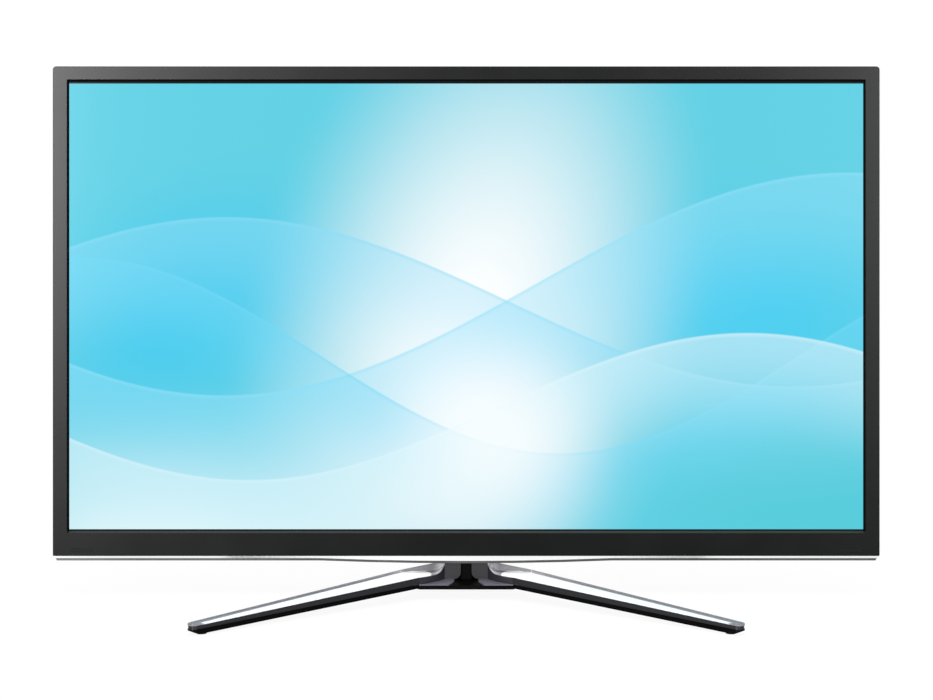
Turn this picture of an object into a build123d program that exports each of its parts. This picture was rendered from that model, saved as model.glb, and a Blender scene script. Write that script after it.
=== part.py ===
from build123d import *
import math
import os

# A flat screen television on a low two-legged stand.
# Millimetres, +Z up, the screen faces -Y, the origin is on the table under the middle of the set.

# Picture and stand sizes that drive everything else
screen_w = 930.24
screen_h = 523.01
screen_rise = 76.4
stand_w = 602.4
front_reach = 209.0
back_reach = 104.0

# Bezel face around the picture
border_side = 1.0
border_top = 2.4
border_bottom = 1.9
bevel_side = 1.0
bevel_end = 1.7
face_side = 16.4
face_top = 15.2
face_bottom = 26.6
face_lead = 6.0
rim_depth = 20.0
rim_wall = 2.4
plate_t = 5.5
corner_r = 4.0
low_corner_r = 1.2
edge_round = 0.8

# Chrome strip and lower lip, both bowed down in the middle
strip_end_h = 2.5
strip_mid_h = 5.8
strip_inset = 1.3
strip_slant = 1.7
strip_depth = 7.0
lip_end_h = 2.9
lip_mid_h = 2.9
lip_inset = 3.2
lip_slant = 1.7
lip_setback = 0.6
lip_depth = 6.4
bow_half = 170.0

# Layers behind the glass, from front to back
seal_w = 2.0
glass_t = 2.2
cell_margin = 4.0
ledge_t = 1.2
ledge_w = 2.0
frame_wall = 3.0
prism_t = 0.5
diffuser_t = 1.5
guide_t = 3.0
reflector_t = 0.4
sheet_gap = 0.4
backplate_t = 1.0
led_strip_h = 1.2
led_w = 3.2
led_h = 1.8
led_pitch = 18.0
led_end = 20.0
bead_w = 14.0
bead_t = 1.6
bead_reach_share = 0.85
bead_rise_shares = (0.72, 0.93)
seal_margin = 1.0

# Rear cover, a shallow tray, and the deeper housing on its lower half
cover_wall = 2.6
cover_inset = 1.5
tray_depth = 8.0
tray_draft = 6.0
hump_depth = 34.0
hump_draft = 8.0
hump_half = 330.0
hump_low = 37.3
hump_high = 320.0
hump_r = 12.0
over = 1.0
clearance = 0.3

# Stand: two splayed legs, a neck in two halves, a black base and a heel behind
root_half = 65.8
root_setback = 14.9
root_w = 36.0
tip_r = 7.2
leg_top_root = 26.6
leg_top_tip = 11.8
leg_split_root = 17.6
leg_split_tip = 6.6
leg_low_root = 13.1
leg_low_tip = 1.2
leg_cover_t = 1.0
cover_lap = 0.6
leg_rim_w = 3.0
leg_rim_root_h = 2.4
leg_rim_tip_h = 0.6
wing_curl = 10.0
wing_curl_share = 0.36
wing_rise = 8.6
wing_high = 12.7
tip_undercut = 11.0
foot_in = 9.5
foot_r = 5.5
neck_gap = 6.4
neck_half = 26.3
neck_front = 2.0
neck_core_t = 6.0
neck_spine_back = 4.0
neck_flare_r = 11.0
neck_foot_r = 8.0
foot_bulge = 2.5
toe_t = 1.2
toe_half = 20.4
toe_bulge = 2.4
base_low = 11.8
tongue_h = 92.0
base_half = 58.0
base_back = 30.0
heel_end_half = 38.0
heel_r = 12.0
heel_low = 2.0
heel_end_h = 9.0
heel_foot_w = 56.0
heel_foot_l = 14.0
bracket_half = 55.0
bracket_t = 3.0
bracket_h = 78.0
notch_half = 50.0
notch_h = 70.0
notch_clear = 3.0

# Screws that hold the stand together from below and from behind
stand_screw_r = 2.4
stand_head_r = 4.5
stand_head_h = 2.5
screw_fit = 0.1
base_head_h = 3.0
base_screw_rise = 3.5
base_screws_near = (60.0, 4.0)
base_screws_far = (44.0, 7.0)
core_screw_half = 16.0
stand_screw_half = 15.0
stand_screw_rises = (20.0, 58.0)

# Wall mount: four threaded posts on two steel rails, flush with the back
vesa_pitch = 200.0
vesa_rise = 150.0
vesa_post_r = 7.0
vesa_thread_r = 3.0
vesa_thread_l = 14.0
rail_w = 30.0
rail_t = 1.6
rail_reach = 20.0

# Boards behind the backplate, with their standoffs and screws
board_t = 1.6
board_rise = 10.0
board_edge = 6.0
standoff_r = 3.0
board_screw_r = 1.2
board_head_r = 2.8
board_head_h = 1.8
slim_rise = 3.0
post_gap = 7.0
main_board_end = 2.0
main_board_low = 1.5
main_board_h = 233.0
power_board_end = 30.0
timing_board_half = 60.0
timing_board_drop = 11.5
timing_board_h = 47.0
driver_board_start = 18.0
driver_board_l = 232.0
driver_board_drop = 34.0
driver_board_h = 19.0
ribbon_in = 10.0
ribbon_w = 22.0
ribbon_t = 0.4
ribbon_lap = 8.0

# Large parts on the boards
sink_in = 76.0
sink_rise = 93.0
sink_w = 50.0
sink_base = 2.0
sink_h = 14.0
sink_fin_t = 1.2
sink_fins = 9
core_in = 36.0
core_rise = 103.0
core_w = 40.0
core_h = 26.0
coil_gap = 6.0
coil_h = 22.0
cap_r = 11.0
cap_h = 24.0
cap_pitch = 26.0
cap_in = 30.0
cap_rise = 93.0
cap_count = 4
power_sink_gap = 38.0
power_sink_t = 8.0
power_sink_rise = 53.0
power_sink_l = 140.0
power_sink_h = 22.0

# Sockets on two edges of the main board, set back in windows of the rear cover
jack_setback = 12.0
jack_plate_t = 1.0
jack_plate_h = 19.0
jack_plate_edge = 8.0
recess_edge = 4.0
recess_wall = 1.6
hdmi_w = 15.0
hdmi_h = 6.0
hdmi_l = 12.0
shell_wall = 0.6
hdmi_tongue_w = 10.4
hdmi_tongue_t = 1.2
hdmi_rises = (121.0, 149.0, 177.0)
usb_w = 13.2
usb_h = 6.2
usb_l = 14.0
usb_tongue_w = 11.0
usb_tongue_t = 1.8
usb_rises = (71.0, 95.0)
tongue_setback = 1.0
phone_rise = 45.0
phone_w = 8.0
phone_r = 3.2
phone_l = 1.0
phone_bore_r = 1.75
lan_share = 0.1
lan_w = 16.0
lan_h = 13.4
lan_l = 16.0
lan_cavity_w = 11.8
lan_cavity_h = 8.0
lan_cavity_l = 13.0
lan_floor = 2.4
vga_share = 0.27
vga_w = 31.0
vga_h = 12.6
vga_l = 10.0
vga_shell_w = 16.8
vga_shell_h = 8.2
vga_shell_l = 5.5
vga_nut_r = 2.4
vga_nut_pitch = 25.0
aerial_share = 0.44
aerial_w = 13.0
aerial_r = 4.75
aerial_bore_r = 1.3
av_share = 0.555
av_pitch = 14.0
av_count = 3
av_w = 11.0
av_r = 4.1
av_bore_r = 1.6
barrel_l = 8.0
block_l = 10.0
bore_floor = 1.0
inlet_share = 0.495
inlet_w = 28.0
inlet_h = 20.0
inlet_l = 20.0
inlet_wall = 1.8
inlet_cavity_l = 16.0
pin_w = 2.0
pin_h = 4.0
pin_pitch = 7.0
pin_step = 2.0
pin_inset = 3.0

# Keys in a row on the back, near one edge
key_names = ["power", "source", "menu", "channel_up", "channel_down", "volume_up", "volume_down"]
key_inset = 50.8
key_row_drop = 11.3
key_pitch = 24.0
key_w = 8.0
key_l = 14.0
key_r = 2.0
key_proud = 1.2
key_travel = 0.8
flange_lap = 1.4
flange_t = 1.0
switch_w = 6.0
switch_t = 1.4
key_board_w = 16.0
key_board_edge = 14.0
key_board_rise = 2.6

# Receiver and light sensor behind two flush windows in the bottom bar
sensor_w = 26.0
sensor_h = 4.1
sensor_inset = 34.2
sensor_low = 4.6
sensor_lap = 1.5
sensor_flange_t = 1.0
sensor_gap = 2.6
sensor_board_h = 16.0
sensor_dome_r = 2.0

# Speaker bars behind the bottom bar, which fire down through slots in the rim
speaker_inset = 142.8
speaker_l = 150.0
speaker_lead_in = 2.0
speaker_h = 18.0
driver_w = 60.0
driver_d = 9.0
driver_t = 3.0
slot_w = 2.0
slot_l = 8.0
slot_pitch = 5.0
slot_count = 28

# Rear cover screws, in bosses that reach the backplate
cover_screw_r = 1.6
cover_head_r = 3.2
cover_head_h = 2.0
cover_sink = 1.0
boss_r = 4.8
cover_screw_edge = 20.8
cover_screw_end = 62.5
cover_screw_drop = 28.0
cover_screw_top_shares = (0.31, 0.62)
housing_screw_in = 22.0
housing_screw_half = 70.0
housing_screw_rise = 116.5
housing_seat = 8.0
vent_w = 3.0
vent_h = 40.0
vent_pitch = 9.0
vent_gap = 35.0
vent_middle_gap = 21.0
vent_edge = 36.0
vent_high = 218.0
vent_low = 40.0

# Leads clipped flat on the backplate, with their ends on the boards
lead_r = 1.5
thin_lead_r = 0.9
lead_lift = 1.9
lead_bend = 18.0
bend_share = 0.45
key_lead_in = 20.0
key_lead_rise = 108.0
receiver_lead_in = 16.0
receiver_lead_rise = 118.0
power_lead_in = 16.0
power_lead_drop = 14.0
speaker_lead_in_board = 46.0
speaker_lead_out = 30.0
speaker_lead_rises = (43.0, 3.0)
left_lead_in = 10.0
left_lead_rise = 83.0


# Planes and heights that follow
depth = front_reach + back_reach
screen_y = -depth / 2 + front_reach
face_y = screen_y - face_lead
plate_back_y = face_y + plate_t
rim_y = face_y + rim_depth
tray_y = rim_y + tray_depth
hump_y = tray_y + hump_depth
screen_top = screen_rise + screen_h
glass_open_half = screen_w / 2 + border_side
glass_open_low = screen_rise - border_bottom
glass_open_high = screen_top + border_top
face_open_half = glass_open_half + bevel_side
face_open_low = glass_open_low - bevel_end
face_open_high = glass_open_high + bevel_end
body_half = face_open_half + face_side
body_low = face_open_low - face_bottom
body_high = face_open_high + face_top
body_mid_z = (body_low + body_high) / 2
ledge_y = screen_y + glass_t
prism_y = ledge_y + ledge_t
diffuser_y = prism_y + prism_t
guide_y = diffuser_y + diffuser_t
reflector_y = guide_y + guide_t
backplate_y = reflector_y + reflector_t
chassis_y = backplate_y + backplate_t
cell_half = screen_w / 2 + cell_margin
cell_low = screen_rise - cell_margin
cell_high = screen_top + cell_margin
frame_half = cell_half + frame_wall
frame_low = cell_low - frame_wall
frame_high = cell_high + frame_wall
strip_end_z = body_low - strip_end_h
strip_mid_z = body_low - strip_mid_h
lip_end_z = strip_end_z - lip_end_h
lip_mid_z = strip_mid_z - lip_mid_h
led_strip_z = cell_low + sheet_gap
led_z = led_strip_z + led_strip_h
guide_low = led_z + led_h + sheet_gap

# Stand places that follow
leg_root_y = screen_y - root_setback
tip_x = stand_w / 2 - tip_r
tip_y = -depth / 2 + tip_r
leg_run = math.hypot(tip_x - root_half, tip_y - leg_root_y)
leg_turn = math.degrees(math.atan2(tip_y - leg_root_y, tip_x - root_half))
leg_place = Pos(root_half, leg_root_y, 0) * Rot(0, 0, leg_turn)
neck_y = screen_y + neck_front
bracket_back_y = chassis_y + bracket_t
neck_back_y = bracket_back_y - clearance
core_back_y = bracket_back_y + neck_core_t
bracket_low = frame_low + notch_clear
neck_top = body_low - clearance
splay = math.radians(-leg_turn)
root_front = (root_half - root_w / 2 * math.sin(splay), leg_root_y - root_w / 2 * math.cos(splay))
root_back = (root_half + root_w / 2 * math.sin(splay), leg_root_y + root_w / 2 * math.cos(splay))
leg_top = (leg_top_root, leg_top_tip)
leg_under = (leg_top_root - leg_cover_t, leg_top_tip - leg_cover_t)
leg_split = (leg_split_root, leg_split_tip)
leg_low = (leg_low_root, leg_low_tip)
leg_rim = (leg_top_root + leg_rim_root_h, leg_top_tip + leg_rim_tip_h)
base_top = leg_split_root - toe_t
stand_screw_y = chassis_y + clearance

# Places that follow
hump_low_z = body_low + hump_low
hump_high_z = hump_low_z + hump_high
hump_mid_z = (hump_low_z + hump_high_z) / 2
vesa_mid_z = hump_low_z + vesa_rise + rail_w
board_y = chassis_y + board_rise
board_back_y = board_y + board_t
slim_back_y = chassis_y + slim_rise + board_t
wall_y = tray_y - cover_wall
side_plate_x = hump_half - jack_setback
low_plate_z = hump_low_z + jack_setback
side_mouth_x = side_plate_x + jack_plate_t
low_mouth_z = low_plate_z - jack_plate_t
board_start = vesa_pitch / 2 + vesa_post_r + post_gap
board_low_z = low_plate_z + main_board_low
main_board_x = (board_start, side_plate_x - main_board_end)
main_board_z = (board_low_z, board_low_z + main_board_h)
power_board_x = (power_board_end - hump_half, -board_start)
timing_board_x = (-timing_board_half, timing_board_half)
timing_board_z = (hump_high_z - timing_board_drop - timing_board_h, hump_high_z - timing_board_drop)
driver_board_x = (driver_board_start, driver_board_start + driver_board_l)
driver_board_z = (body_high - driver_board_drop - driver_board_h, body_high - driver_board_drop)
ribbon_x = (driver_board_x[0] + ribbon_in, driver_board_x[0] + ribbon_in + ribbon_w)
sink_x = (main_board_x[0] + sink_in, main_board_x[0] + sink_in + sink_w)
sink_z = (board_low_z + sink_rise, board_low_z + sink_rise + sink_w)
core_x = (power_board_x[1] - core_in - core_w, power_board_x[1] - core_in)
core_z = (board_low_z + core_rise, board_low_z + core_rise + core_w)
cap_x = power_board_x[0] + cap_in
cap_low_z = board_low_z + cap_rise
power_sink_x = (core_x[0] - power_sink_gap - power_sink_t, core_x[0] - power_sink_gap)
power_sink_z = (board_low_z + power_sink_rise, board_low_z + power_sink_rise + power_sink_l)
main_board_w = main_board_x[1] - main_board_x[0]
lan_x = main_board_x[0] + lan_share * main_board_w
vga_x = main_board_x[0] + vga_share * main_board_w
aerial_x = main_board_x[0] + aerial_share * main_board_w
av_start_x = main_board_x[0] + av_share * main_board_w
av_x = [av_start_x + number * av_pitch for number in range(av_count)]
inlet_x = power_board_x[0] + inlet_share * (power_board_x[1] - power_board_x[0])
hdmi_z = [board_low_z + rise for rise in hdmi_rises]
usb_z = [board_low_z + rise for rise in usb_rises]
phone_z = board_low_z + phone_rise

key_board_y = chassis_y + key_board_rise
switch_y = key_board_y + board_t
key_foot_y = switch_y + switch_t + clearance + key_travel
flange_y = wall_y - clearance - flange_t
key_x = body_half - key_inset
key_row_h = (len(key_names) - 1) * key_pitch
key_low_z = body_mid_z - key_row_h / 2 - key_row_drop
key_high_z = key_low_z + key_row_h

sensor_x = body_half - sensor_inset
speaker_x = (body_half - speaker_inset - speaker_l, body_half - speaker_inset)
sensor_z = (body_low + sensor_low, body_low + sensor_low + sensor_h)
sensor_board_y = plate_back_y + sensor_flange_t + sensor_gap
cell_floor = body_low + rim_wall + clearance
speaker_y = (plate_back_y + speaker_lead_in, rim_y - clearance)
slot_y = (speaker_y[0] + clearance, speaker_y[0] + clearance + slot_l)

key_lead_x = main_board_x[1] - key_lead_in
key_lead_z = board_low_z + key_lead_rise
receiver_lead_x = main_board_x[0] + receiver_lead_in
receiver_lead_z = board_low_z + receiver_lead_rise
power_lead_x = (power_board_x[1] - power_lead_in, main_board_x[0] + power_lead_in)
power_lead_z = main_board_z[1] - power_lead_drop
speaker_lead_x = (main_board_x[0] + speaker_lead_in_board, speaker_x[0] + speaker_lead_out)
speaker_lead_z = (board_low_z + speaker_lead_rises[0], board_low_z + speaker_lead_rises[1])
left_lead_x = (main_board_x[0] + left_lead_in, -speaker_lead_x[1])
left_lead_z = board_low_z + left_lead_rise
lead_y = chassis_y + bead_t + lead_lift
thin_y = chassis_y + rail_t + clearance + thin_lead_r


def block(xs, ys, zs):
    size = Box(xs[1] - xs[0], ys[1] - ys[0], zs[1] - zs[0])
    return Pos((xs[0] + xs[1]) / 2, (ys[0] + ys[1]) / 2, (zs[0] + zs[1]) / 2) * size


def wide_block(half, ys, zs):
    return block((-half, half), ys, zs)


def rod(radius, length, place, turn):
    return Pos(*place) * turn * Cylinder(radius, length, align=(Align.CENTER, Align.CENTER, Align.MIN))


along_y = Rot(-90, 0, 0)
along_back_y = Rot(90, 0, 0)
along_z = Rot(0, 0, 0)


def rounded(width, height, radius, y, mid_z):
    plane = Plane(origin=(0, y, mid_z), x_dir=(1, 0, 0), z_dir=(0, -1, 0))
    return plane * RectangleRounded(width, height, radius)


def tapered(front, back):
    return loft([front, back], ruled=True)


def write(name, shape):
    export_step(shape, f"parts/{name}.step")


def write_group(name, shapes):
    write(name, Compound(shapes))


def write_pair(name, right):
    write(f"{name}_right", right)
    write(f"{name}_left", mirror(right, about=Plane.YZ))

# Ring between two rectangles that share the picture's centre line
def ring(outer, inner, ys):
    return wide_block(outer[0], ys, outer[1:]) - wide_block(inner[0], (ys[0] - over, ys[1] + over), inner[1:])


def drill(shape, cutters):
    for cutter in cutters:
        shape -= cutter
    return shape


os.makedirs("parts", exist_ok=True)


# Front bezel: face plate with a bevelled window, and a rim round the sides
def make_bezel():
    width = 2 * body_half
    height = body_high - body_low
    face = rounded(width, height, corner_r, face_y, body_mid_z)
    face += rounded(width, 2 * corner_r, low_corner_r, face_y, body_low + corner_r)
    shell = extrude(face, amount=-rim_depth)
    front_edges = shell.edges().filter_by_position(Axis.Y, face_y, face_y)
    shell = fillet(front_edges, edge_round)
    inner_half = body_half - rim_wall
    inner_z = (body_low + rim_wall, body_high - rim_wall)
    shell -= wide_block(inner_half, (plate_back_y, rim_y + over), inner_z)
    window_front = rounded(2 * face_open_half, face_open_high - face_open_low, bevel_side,
                           face_y, (face_open_high + face_open_low) / 2)
    window_back = rounded(2 * glass_open_half, glass_open_high - glass_open_low, bevel_side,
                          plate_back_y, (glass_open_high + glass_open_low) / 2)
    return shell - tapered(window_front, window_back)


# Edge of the strip or lip: level at its ends, bowed by an arc in the middle
def bowed_edge(half, end_z, mid_z):
    left = Line((-half, end_z), (-bow_half, end_z))
    middle = ThreePointArc((-bow_half, end_z), (0, mid_z), (bow_half, end_z))
    right = Line((bow_half, end_z), (half, end_z))
    return [left, middle, right]


# Thin bar whose ends slant in towards its lower edge
def slanted_bar(upper, lower, top, low, y, bar_depth):
    ends = [Line((side * top[0], top[1]), (side * low[0], low[1])) for side in (-1, 1)]
    plane = Plane(origin=(0, y, 0), x_dir=(1, 0, 0), z_dir=(0, -1, 0))
    return extrude(plane * make_face(upper + lower + ends), amount=-bar_depth)


def make_strip():
    top = (body_half - strip_inset, body_low)
    low = (top[0] - strip_slant, strip_end_z)
    upper = [Line((-top[0], top[1]), top)]
    return slanted_bar(upper, bowed_edge(*low, strip_mid_z), top, low, face_y, strip_depth)


def make_lip():
    top = (body_half - lip_inset, strip_end_z)
    low = (top[0] - lip_slant, lip_end_z)
    upper = bowed_edge(*top, strip_mid_z)
    return slanted_bar(upper, bowed_edge(*low, lip_mid_z), top, low, face_y + lip_setback, lip_depth)


write("chrome_strip", make_strip())
write("lower_lip", make_lip())


# Glass cell, the soft strips in front of it and the frame that holds it
def make_panel():
    write("lcd_panel", wide_block(cell_half, (screen_y, ledge_y), (cell_low, cell_high)))
    seal_outer = (cell_half - seal_margin, cell_low + seal_margin, cell_high - seal_margin)
    seal_inner = (seal_outer[0] - seal_w, seal_outer[1] + seal_w, seal_outer[2] - seal_w)
    write("light_seal", ring(seal_outer, seal_inner, (plate_back_y, screen_y)))
    outer = (frame_half, frame_low, frame_high)
    wall = ring(outer, (cell_half, cell_low, cell_high), (screen_y, backplate_y))
    ledge_in = (cell_half - ledge_w, cell_low + ledge_w, cell_high - ledge_w)
    write("mid_frame", wall + ring(outer, ledge_in, (ledge_y, prism_y)))


# Sheets and light guide stacked behind the ledge, clear of the frame wall
def make_light_stack():
    half = cell_half - sheet_gap
    top = cell_high - sheet_gap
    write("prism_sheet", wide_block(half, (prism_y, diffuser_y), (guide_low, top)))
    write("diffuser_sheet", wide_block(half, (diffuser_y, guide_y), (guide_low, top)))
    write("light_guide", wide_block(half, (guide_y, reflector_y), (guide_low, top)))
    write("reflector_sheet", wide_block(half, (reflector_y, backplate_y), (guide_low, top)))


def make_leds():
    half = cell_half - led_end
    strip = wide_block(half, (guide_y, reflector_y), (led_strip_z, led_z))
    count = int((2 * half - led_w) / led_pitch)
    start = -count * led_pitch / 2
    lamps = [strip]
    for number in range(count + 1):
        centre = start + number * led_pitch
        lamp_x = (centre - led_w / 2, centre + led_w / 2)
        lamps.append(block(lamp_x, (guide_y, reflector_y), (led_z, led_z + led_h)))
    write_group("led_bar", lamps)


# Steel backplate with pressed beads on its back
def make_backplate():
    plate = wide_block(frame_half, (backplate_y, chassis_y), (frame_low, frame_high))
    bead_y = (chassis_y, chassis_y + bead_t)
    bead_half = bead_reach_share * cell_half
    for centre in (-bead_half, bead_half):
        plate += block((centre - bead_w / 2, centre + bead_w / 2), bead_y, (cell_low + bead_w, cell_high - bead_w))
    for share in bead_rise_shares:
        centre = cell_low + share * screen_h
        plate += wide_block(bead_half, bead_y, (centre - bead_w / 2, centre + bead_w / 2))
    return plate


make_panel()
make_light_stack()
make_leds()


# Plan of a leg along its own length: a taper that ends in a round tip
def leg_plan(inset):
    half = root_w / 2 - inset
    radius = tip_r - inset
    lean = math.asin((half - radius) / leg_run)
    touch = (leg_run + radius * math.sin(lean), radius * math.cos(lean))
    front = Line((0, -half), (touch[0], -touch[1]))
    end = ThreePointArc((touch[0], -touch[1]), (leg_run + radius, 0), touch)
    back = Line(touch, (0, half))
    root = Line((0, half), (0, -half))
    return make_face([front, end, back, root])


# Sloping slab between two heights at the root and two at the tip
def leg_slab(low, high):
    reach = leg_run + tip_r + over
    low_end = low[0] + (low[1] - low[0]) * reach / leg_run
    high_end = high[0] + (high[1] - high[0]) * reach / leg_run
    side = make_face(Polyline((0, low[0]), (reach, low_end), (reach, high_end), (0, high[0]), close=True))
    return extrude(Plane.XZ * side, amount=root_w, both=True)


def leg_layer(inset, low, high):
    return extrude(leg_plan(inset), amount=leg_top_root + tip_r) & leg_slab(low, high)


# Plan of the casting between the leg's root and the neck
def neck_foot(inset):
    middle = ((root_front[0] + neck_half) / 2 - foot_bulge, (root_front[1] + neck_y) / 2 - foot_bulge)
    sweep_in = ThreePointArc(root_front, middle, (neck_half - inset, neck_y))
    rest = Polyline((neck_half - inset, neck_y), (neck_half - inset, neck_back_y), root_back, root_front)
    return make_face([sweep_in] + rest.edges())


# Front view of a neck half: it flares outwards at its foot and away from the gap
def neck_face(lift, outer, front_y):
    foot_z = leg_top_root - lift
    flare_x = outer + neck_flare_r
    start = (neck_gap + neck_foot_r, leg_split_root)
    up = (neck_gap, leg_split_root + neck_foot_r)
    share = 1 - math.sqrt(0.5)
    inner = ThreePointArc(start, (neck_gap + neck_foot_r * share, leg_split_root + neck_foot_r * share), up)
    rise = Polyline(up, (neck_gap, neck_top), (outer, neck_top), (outer, foot_z + neck_flare_r))
    bend = (outer + neck_flare_r * share, foot_z + neck_flare_r * share)
    outer_arc = ThreePointArc((outer, foot_z + neck_flare_r), bend, (flare_x, foot_z))
    close = Polyline((flare_x, foot_z), (flare_x, leg_split_root), start)
    plane = Plane(origin=(0, front_y, 0), x_dir=(1, 0, 0), z_dir=(0, -1, 0))
    face = plane * make_face([inner] + rise.edges() + [outer_arc] + close.edges())
    return extrude(face, amount=front_y - neck_back_y)


# Neck half whose flare runs on forward, as a shoulder over the swept front of its foot
def neck_form(inset):
    outer = neck_half - inset
    shoulder = extrude(Pos(0, 0, leg_split_root) * neck_foot(inset), amount=neck_top)
    shoulder = shoulder & neck_face(inset, outer, root_front[1])
    return neck_face(inset, outer, neck_y) + shoulder


# Flat toe of the casting, which reaches forward over the base beside the middle gap
def toe_plan():
    inner_x = neck_gap + neck_foot_r
    middle = ((inner_x + toe_half) / 2 - toe_bulge, (neck_y + root_front[1]) / 2)
    sweep_in = ThreePointArc((toe_half, root_front[1]), middle, (inner_x, neck_y))
    rest = Polyline((inner_x, neck_y), (inner_x, neck_back_y), root_back, root_front, (toe_half, root_front[1]))
    return make_face([sweep_in] + rest.edges())


def make_casting():
    leg = leg_place * leg_layer(cover_lap, leg_split, leg_under)
    toe = extrude(Pos(0, 0, base_top) * toe_plan(), amount=toe_t)
    foot_h = leg_top_root - leg_cover_t - leg_split_root
    foot = extrude(Pos(0, 0, leg_split_root) * neck_foot(leg_cover_t), amount=foot_h)
    return leg + toe + foot + neck_form(leg_cover_t)


# Raised back edge of the cover where it climbs from the leg to the neck
def cover_wing():
    low_z = leg_top_root - leg_cover_t
    bend = (neck_half + wing_curl, leg_top_root + wing_rise)
    high = (neck_half, leg_top_root + wing_high)
    middle = (neck_half + wing_curl * wing_curl_share, bend[1] + (high[1] - bend[1]) * wing_curl_share)
    crest = [ThreePointArc(high, middle, bend), Line(bend, (root_back[0], leg_rim[0]))]
    rest = Polyline((root_back[0], leg_rim[0]), (root_back[0], low_z), (neck_half, low_z), high)
    front_view = extrude(Plane.XZ * make_face(crest + rest.edges()), amount=root_w * 2, both=True)
    back = Polyline((neck_half, neck_back_y), root_back, (root_back[0], root_back[1] - leg_rim_w),
                    (neck_half, neck_back_y - leg_rim_w), close=True)
    return front_view & extrude(make_face(back), amount=body_low)


# Bright cover: a strip on the leg with a raised back edge, curling up beside the neck
def make_leg_cover():
    strip = leg_layer(0, leg_under, leg_top)
    rim_reach = leg_top_root + tip_r
    rim = extrude(leg_plan(0), amount=rim_reach) - extrude(leg_plan(leg_rim_w), amount=rim_reach)
    rim = rim & leg_slab(leg_top, leg_rim)
    rim = rim & Pos(leg_run / 2 + tip_r, root_w / 2, 0) * Box(leg_run + 2 * tip_r, root_w, 2 * root_w)
    cover = leg_place * (strip + rim)
    foot = extrude(Pos(0, 0, leg_top_root - leg_cover_t) * neck_foot(0), amount=leg_cover_t)
    curl = neck_form(0) - block((0, neck_half), (neck_y - over, neck_back_y + over), (0, leg_rim[0]))
    return cover + foot + curl + cover_wing() - make_casting()


def base_screw_places():
    core_y = (bracket_back_y + core_back_y) / 2
    places = [(core_screw_half, core_y), (-core_screw_half, core_y)]
    for side in (-1, 1):
        for half, setback in (base_screws_near, base_screws_far):
            places.append((side * half, screen_y - setback))
    return places


def base_screw(place, fit):
    shank = rod(stand_screw_r + fit, base_screw_rise + base_top - base_low, (*place, base_low), along_z)
    head = rod(stand_head_r + fit, base_head_h, (*place, base_low), along_z)
    return shank + head


def stand_screw_places():
    places = []
    for rise in stand_screw_rises:
        places += [(stand_screw_half, bracket_low + rise), (-stand_screw_half, bracket_low + rise)]
    return places


def stand_screw(place, fit):
    x, z = place
    shank = rod(stand_screw_r + fit, tray_y - stand_screw_y, (x, stand_screw_y, z), along_y)
    return shank + rod(stand_head_r, stand_head_h, (x, tray_y, z), along_y)


base_cutters = [base_screw(place, screw_fit) for place in base_screw_places()]
stand_cutters = [stand_screw(place, screw_fit) for place in stand_screw_places()]


# Black base under the neck, running back into a heel that stops the set tipping
def make_base():
    back_y = screen_y + base_back
    right = [root_front, root_back, (base_half, back_y)]
    left = [(-x, y) for x, y in reversed(right)]
    slab = extrude(Pos(0, 0, base_low) * make_face(Polyline(*right, *left, close=True)),
                   amount=base_top - base_low)
    rear = depth / 2
    plan = make_face(Polyline((base_half, back_y), (heel_end_half, rear), (-heel_end_half, rear),
                              (-base_half, back_y), close=True))
    heel = extrude(plan, amount=leg_top_root)
    heel = fillet(heel.edges().filter_by(Axis.Z).sort_by(Axis.Y)[-2:], heel_r)
    side = make_face(Polyline((back_y, base_low), (rear, heel_low), (rear, heel_end_h), (back_y, base_top),
                              close=True))
    heel = heel & extrude(Plane.YZ * side, amount=base_half, both=True)
    return drill(slab + heel, base_cutters)


def make_core():
    spine_y = (neck_y + neck_spine_back, bracket_back_y)
    spine = wide_block(neck_gap - clearance, spine_y, (base_top, neck_top))
    column_z = (base_top, bracket_low + tongue_h - notch_clear)
    column = wide_block(neck_half, (bracket_back_y, core_back_y), column_z)
    return drill(spine + column, base_cutters + stand_cutters)


def make_leg_tray():
    tip_end = leg_run + tip_r
    wedge = make_face(Polyline((tip_end - tip_undercut, 0), (tip_end + over, leg_split_tip - over),
                               (tip_end + over, 0), close=True))
    wedge = extrude(Plane.XZ * wedge, amount=root_w, both=True)
    return leg_place * (leg_layer(0, leg_low, leg_split) - wedge)


def make_tip_foot():
    place = leg_place * Pos(leg_run - foot_in, 0, 0)
    pad = place * Cylinder(foot_r, leg_split_tip, align=(Align.CENTER, Align.CENTER, Align.MIN))
    return pad & leg_place * leg_slab((0, 0), leg_low)


def make_heel_foot():
    back_y = depth / 2 - heel_r
    back_edge = screen_y + base_back
    side = make_face(Polyline((back_edge, 0), (depth / 2, 0), (depth / 2, heel_low), (back_edge, base_low),
                              close=True))
    under = extrude(Plane.YZ * side, amount=base_half, both=True)
    return under & wide_block(heel_foot_w / 2, (back_y - heel_foot_l, back_y), (0, base_low))


# Steel bracket on the backplate that the neck core is screwed to
def make_bracket():
    plate = wide_block(bracket_half, (chassis_y, bracket_back_y), (bracket_low, bracket_low + bracket_h))
    return drill(plate, stand_cutters)


write_pair("leg_casting", drill(make_casting(), base_cutters))
write_pair("leg_cover", make_leg_cover())
write_group("leg_trays", [make_leg_tray(), mirror(make_leg_tray(), about=Plane.YZ)])
write("stand_base", make_base())
write("neck_core", make_core())
write("stand_bracket", make_bracket())
write_group("stand_feet", [make_tip_foot(), mirror(make_tip_foot(), about=Plane.YZ), make_heel_foot()])
base_screws = [base_screw(place, 0) for place in base_screw_places()]
write_group("stand_screws", base_screws + [stand_screw(place, 0) for place in stand_screw_places()])


def vesa_places():
    half = vesa_pitch / 2
    return [(side * half, vesa_mid_z + end * half) for side in (-1, 1) for end in (-1, 1)]


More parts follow.
